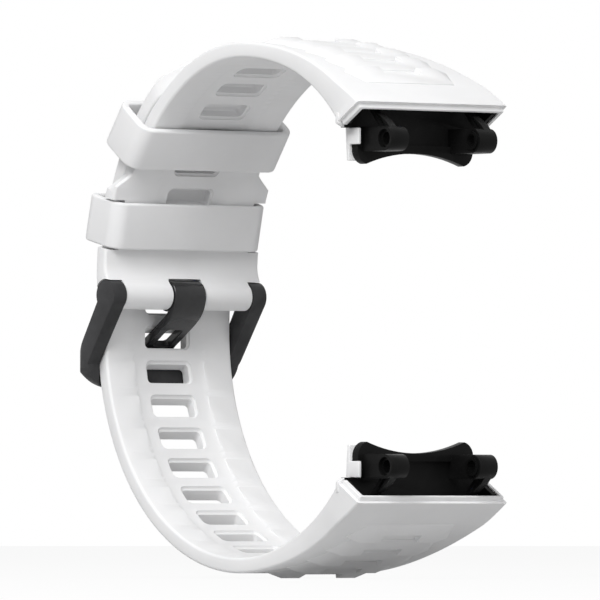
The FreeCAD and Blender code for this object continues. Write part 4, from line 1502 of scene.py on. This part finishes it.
@dataclass
class Keeper:
    """A silicone loop round both layers."""

    lines: StrapLines
    angle: float
    side_clear: float = 1.1
    wall: float = 1.0
    side_wall: float = 1.2
    clear: float = 0.16
    back_clear: float = 1.1
    outer_r: float = 2.1
    inner_r: float = 0.9
    edge_r: float = 0.32
    corner_steps: int = 10
    edge_steps: int = 5

    def build(self) -> bpy.types.Object:
        """Sweeps the loop's section round a rounded rectangle and stands it round the strap.

        Returns:
            The finished mesh.
        """
        lines = self.lines
        rise = lines.keeper_l / 2.0
        near = math.sqrt((lines.short_arcs[0][0] - self.clear) ** 2 - rise ** 2)
        far = lines.short_arcs[0][0] + lines.over() + lines.long_t + self.back_clear
        x = lines.strap_w / 2.0 + self.side_clear
        y = (far - near) / 2.0
        inner = rounded_oblong(x, y, self.inner_r, self.corner_steps)
        outer = rounded_oblong(x + self.side_wall, y + self.wall, self.outer_r, self.corner_steps)
        loops = [section(Vector((*a, 0.0)), Vector((*b, 0.0)), rise, rise, self.edge_r, self.edge_steps, UP)
                 for a, b in zip(inner, outer)]
        spot, out, along = lines.spoke(self.angle, (near + far) / 2.0)
        return place(mesh_of("keeper_loop", loops, closed=True), basis(-ACROSS, out, along, spot))


# ---------------------------------------------------------------- metalwork
@dataclass
class Tongue:
    """The prong: an eye round the bar, a curved blade with a window, a hooked tip."""

    bar_r: float = 0.95
    eye_r: float = 2.2
    blade_t: float = 1.15
    width: float = 5.4
    arcs: tuple[tuple[float, float], ...] = ((4.3, 50.0), (14.0, 8.0))
    straight: float = 4.7
    tip_arc: tuple[float, float] = (3.5, 38.0)
    tip_trim: float = 0.22
    tip_narrow: float = 0.8
    trim_ribs: int = 3
    eye_slack: float = 0.001
    eye_edge: float = 0.2
    bend_steps: int = 24
    straight_steps: int = 6
    tip_steps: int = 10
    window_w: float = 2.6
    window_l: float = 4.2
    window_at: float = 0.6
    window_corner: float = 0.45
    window_edge: float = 0.15
    edge_r: float = 0.22

    def build(self) -> bpy.types.Object:
        """Bends the blade, adds the eye and cuts the window.

        Returns:
            The finished mesh.
        """
        bend = ArcPath((self.eye_r, 0.0), 270.0, self.arcs, -1)
        angle = bend.heading(bend.length)
        along = pointing(angle)
        side = right_of(along)
        end = bend.at(bend.length)
        hook_at = end + along * self.straight
        hook = ArcPath((hook_at.x, hook_at.z), math.degrees(angle), (self.tip_arc,), 1)
        pairs = self._ribs(bend, self.bend_steps)
        for k in range(1, self.straight_steps):
            point = end + along * (self.straight * k / self.straight_steps)
            pairs.append((point, point + side * self.blade_t))
        pairs += self._ribs(hook, self.tip_steps)
        loops = []
        for k, (a, b) in enumerate(pairs):
            trim = self.tip_trim * max(0.0, 1.0 - (len(pairs) - 1 - k) / self.trim_ribs) ** 2
            middle = (a + b) / 2.0
            half = self.width / 2.0 - trim * self.tip_narrow
            loops.append(section(middle + (a - middle) * (1.0 - trim), middle + (b - middle) * (1.0 - trim),
                                 half, half, self.edge_r))
        body = mesh_of("tongue_blade", loops)
        eye = prism("eye", circle(self.eye_r, EYE_FACETS), self.width - self.eye_slack,
                    round_by=self.eye_edge)
        carve(body, eye, Cut.ADD)
        carve(body, prism("eye_bore", circle(self.bar_r, BORE_FACETS), self.width + 2.0), Cut.REMOVE)
        window = SlotTool(self.window_w, self.window_l, self.window_corner, 0.0, self.blade_t, 0.0,
                          near_round=self.window_edge)
        spot = basis(ACROSS, along, side, end + along * (self.straight * self.window_at))
        carve(body, place(window.build("window"), spot), Cut.REMOVE)
        return body

    def _ribs(self, path: ArcPath, steps: int) -> list[tuple[Vector, Vector]]:
        """Pairs of front and back points along a bend."""
        distances = [path.length * k / steps for k in range(steps + 1)]
        return [(path.at(s), path.at(s, -self.blade_t)) for s in distances]


class RoundedNode:
    """A CAD piece remade with its flat faces cleaned and its edges rounded."""

    MERGE = 2e-6
    FLAT_ANGLE = 1.0
    EDGE_ANGLE = 32.0
    SMOOTH_ANGLE = 35.0

    def __init__(self, node: bpy.types.Object, radius: float) -> None:
        """Notes what to remake.

        Args:
            node: the CAD node.
            radius: the edge radius in millimetres.
        """
        self.node = node
        self.radius = radius

    def build(self) -> bpy.types.Object:
        """Rounds a copy of the node.

        Returns:
            The copy, in metres in the frame.
        """
        bm = bmesh.new()
        bm.from_mesh(self.node.data)
        bmesh.ops.remove_doubles(bm, verts=bm.verts, dist=self.MERGE)
        bmesh.ops.dissolve_limit(bm, angle_limit=math.radians(self.FLAT_ANGLE), verts=bm.verts,
                                 edges=bm.edges, delimit={"NORMAL"})
        bevel_sharp(bm, self.radius * MM, 3, self.EDGE_ANGLE)
        obj = link(self.node.name + "_rounded", bm)
        smooth(obj, self.SMOOTH_ANGLE)
        return obj


# ---------------------------------------------------------------- the studio
def look_at(obj: bpy.types.Object, spot: Vector, target: Vector) -> None:
    """Stands a camera or a lamp at a spot and turns it to a target."""
    obj.location = spot
    obj.rotation_euler = (target - spot).to_track_quat("-Z", "Y").to_euler()


@dataclass
class Studio:
    """A plain white floor and backdrop, soft lamps and a long-lens camera, in metres."""

    origin: Vector
    azimuth: float = 38.3
    elevation: float = -1.27
    distance: float = 1.4
    lens: float = 616.1
    aim_across: float = -0.01809
    aim_up: float = 0.00041
    floor_radius: float = 3.0
    floor_tone: tuple[float, float, float] = (0.52, 0.52, 0.52)
    floor_white: tuple[float, float] = (0.1, 0.93)
    world_white: tuple[float, float] = (0.11, 1.0)
    lamp_size: float = 0.6
    lamp_target: tuple[float, float, float] = (0.0, 0.0, 0.038)
    lamps: tuple[tuple[str, tuple[float, float, float], float], ...] = (
        ("key_lamp", (0.38, -0.68, 0.72), 9.7), ("front_lamp", (0.8, -0.1, 0.5), 2.3),
        ("top_lamp", (-0.1, 0.0, 0.85), 1.3))

    def build(self) -> None:
        """Makes the floor, the world, the lamps and the camera."""
        self._floor()
        self._world()
        self._lamps()
        self._camera()

    def _camera(self) -> None:
        """Sets up a level long-lens camera just above the floor."""
        az = math.radians(self.azimuth)
        el = math.radians(self.elevation)
        towards = Vector((math.cos(el) * math.cos(az), -math.cos(el) * math.sin(az), math.sin(el)))
        right = Vector((math.sin(az), math.cos(az), 0.0))
        aim = self.origin + right * self.aim_across + towards.cross(right) * self.aim_up
        data = bpy.data.cameras.new("studio_camera")
        data.lens = self.lens
        data.sensor_width = 36.0
        data.clip_start = 0.05
        data.clip_end = 20.0
        camera = add_object("studio_camera", data)
        look_at(camera, self.origin + towards * self.distance, aim)
        bpy.context.scene.camera = camera

    def _floor(self) -> None:
        """Lays a round white floor that shows as plain white and keeps the object's shadow."""
        bm = bmesh.new()
        bmesh.ops.create_circle(bm, cap_ends=True, segments=64, radius=self.floor_radius)
        floor = link("floor", bm)
        paint = Paint("floor_white")
        paint.set({"Base Color": (*self.floor_tone, 1.0), "Roughness": 0.9})
        tree = paint.tree
        glow = add_node(tree, "ShaderNodeEmission", {"Strength": 1.0})
        mix = add_node(tree, "ShaderNodeMixShader")
        share = self._direct_look(tree, *self.floor_white)
        for source, target in ((share, mix.inputs[0]), (paint.surface.outputs[0], mix.inputs[1]),
                               (glow.outputs[0], mix.inputs[2]),
                               (mix.outputs[0], tree.nodes["Material Output"].inputs["Surface"])):
            tree.links.new(source, target)
        floor.data.materials.append(paint.material)

    @staticmethod
    def _direct_look(tree: bpy.types.NodeTree, low: float, high: float) -> bpy.types.NodeSocket:
        """Tells the rays of the camera, reflections and refractions from all others.

        Args:
            tree: the tree to add to.
            low: value for other rays.
            high: value for those rays.

        Returns:
            The value's socket.
        """
        paths = add_node(tree, "ShaderNodeLightPath")
        total = paths.outputs["Is Camera Ray"]
        for ray in ("Is Glossy Ray", "Is Transmission Ray"):
            add = add_node(tree, "ShaderNodeMath", operation="ADD", use_clamp=True)
            tree.links.new(total, add.inputs[0])
            tree.links.new(paths.outputs[ray], add.inputs[1])
            total = add.outputs[0]
        blend = add_node(tree, "ShaderNodeMapRange", {"To Min": low, "To Max": high})
        tree.links.new(total, blend.inputs["Value"])
        return blend.outputs["Result"]

    def _world(self) -> None:
        """Makes the world white for the camera and reflections, and a dimmer fill for all else."""
        world = bpy.data.worlds.new("studio")
        bpy.context.scene.world = world
        world.use_nodes = True
        back = world.node_tree.nodes["Background"]
        back.inputs["Color"].default_value = (1.0, 1.0, 1.0, 1.0)
        strength = self._direct_look(world.node_tree, *self.world_white)
        world.node_tree.links.new(strength, back.inputs["Strength"])

    def _lamps(self) -> None:
        """Hangs a large soft lamp high on the near side, weaker ones in front and overhead."""
        for name, where, watts in self.lamps:
            data = bpy.data.lights.new(name, "AREA")
            data.shape = "SQUARE"
            data.size = self.lamp_size
            data.energy = watts
            look_at(add_object(name, data), Vector(where), Vector(self.lamp_target))


# ---------------------------------------------------------------- assembly
@dataclass
class WatchStrap:
    """Builds, dresses and mounts every piece of the strap."""

    nodes: dict[str, bpy.types.Object]
    pin: Vector
    finishes: Finishes = field(default_factory=Finishes)

    def mount(self, obj: bpy.types.Object, name: str, body: str, node: str,
              finish: bpy.types.Material) -> None:
        """Names and dresses a piece and hands it to the frame.

        Args:
            obj: the piece, in metres in the frame.
            name: its name.
            body: the body it rides on.
            node: the CAD node it stands for.
            finish: its material.
        """
        obj.name = name
        obj.data.name = name
        self.dress(obj, finish)
        for face in obj.data.polygons:
            face.material_index = 0
        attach(obj, body)
        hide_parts(node)
        LOG.info("%s: %d faces on %s", name, len(obj.data.polygons), body)

    @staticmethod
    def dress(obj: bpy.types.Object, finish: bpy.types.Material) -> None:
        """Gives an object one material."""
        obj.data.materials.clear()
        obj.data.materials.append(finish)

    def stand(self, obj: bpy.types.Object) -> bpy.types.Object:
        """Cleans and shades a mesh and moves it from millimetres about the pin into the frame.

        Args:
            obj: the object.

        Returns:
            The same object.
        """
        with edited(obj) as bm:
            bmesh.ops.remove_doubles(bm, verts=bm.verts, dist=1e-4)
            bmesh.ops.dissolve_degenerate(bm, edges=bm.edges, dist=1e-4)
        smooth(obj, 28.0)
        obj.data.transform(Matrix.Translation(self.pin) @ Matrix.Scale(MM, 4))
        return obj

    def build(self) -> None:
        """Makes every piece."""
        lines = StrapLines()
        repeater = PathRepeater()
        fin = self.finishes
        loop = "strap_loop"
        for shape, name, body, node, slot, finish in (
                (ShortStrap(lines, repeater, fin.silicone), "moulded_short_strap", loop, "short_strap",
                 "silicone", fin.silicone),
                (LongStrap(lines, repeater, fin.silicone), "moulded_long_strap", loop, "long_strap",
                 "silicone", fin.silicone),
                (Keeper(lines, KEEPER_ANGLES["lower"]), "moulded_keeper_lower", loop, "keeper_lower",
                 "keeper_silicone", fin.keeper),
                (Keeper(lines, KEEPER_ANGLES["upper"]), "moulded_keeper_upper", "sliding_keeper",
                 "keeper_upper", "keeper_silicone", fin.keeper),
                (Tongue(), "polished_tongue", "tongue", "buckle_tongue", "tongue_metal", fin.tongue)):
            self.mount(self.stand(shape.build()), name, body, node, finish)
        for node, body, slot, finish, radius in (
                ("buckle_frame", "frame", "buckle_metal", fin.frame, 0.28),
                ("connector_upper", loop, "connector_metal", fin.connector, 0.16),
                ("connector_lower", loop, "connector_metal", fin.connector, 0.16)):
            self.mount(RoundedNode(self.nodes[node], radius).build(), "rounded_" + node, body, node,
                       finish)
        for prefix, finish in (("spring_bar", fin.steel), ("lug_bush", fin.bush)):
            for name in [node for node in self.nodes if node.startswith(prefix)]:
                self.dress(self.nodes[name], finish)
                LOG.info("%s: CAD shape, finish %s", name, finish.name)


def main() -> None:
    """Builds the strap round the loaded frame and lights it."""
    logging.basicConfig(level=logging.INFO, format="%(message)s")
    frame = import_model()
    joints = {joint["name"]: joint for joint in frame["record"]["behaviour"]["joints"]}
    pin = Vector(joints["tongue_pivot"]["pos_m"])
    WatchStrap(frame["nodes"], pin).build()
    Studio(pin + Vector(VIEW_POINT) * MM).build()
    bpy.context.scene.view_settings.view_transform = "Standard"


if __name__ == "__main__":
    main()
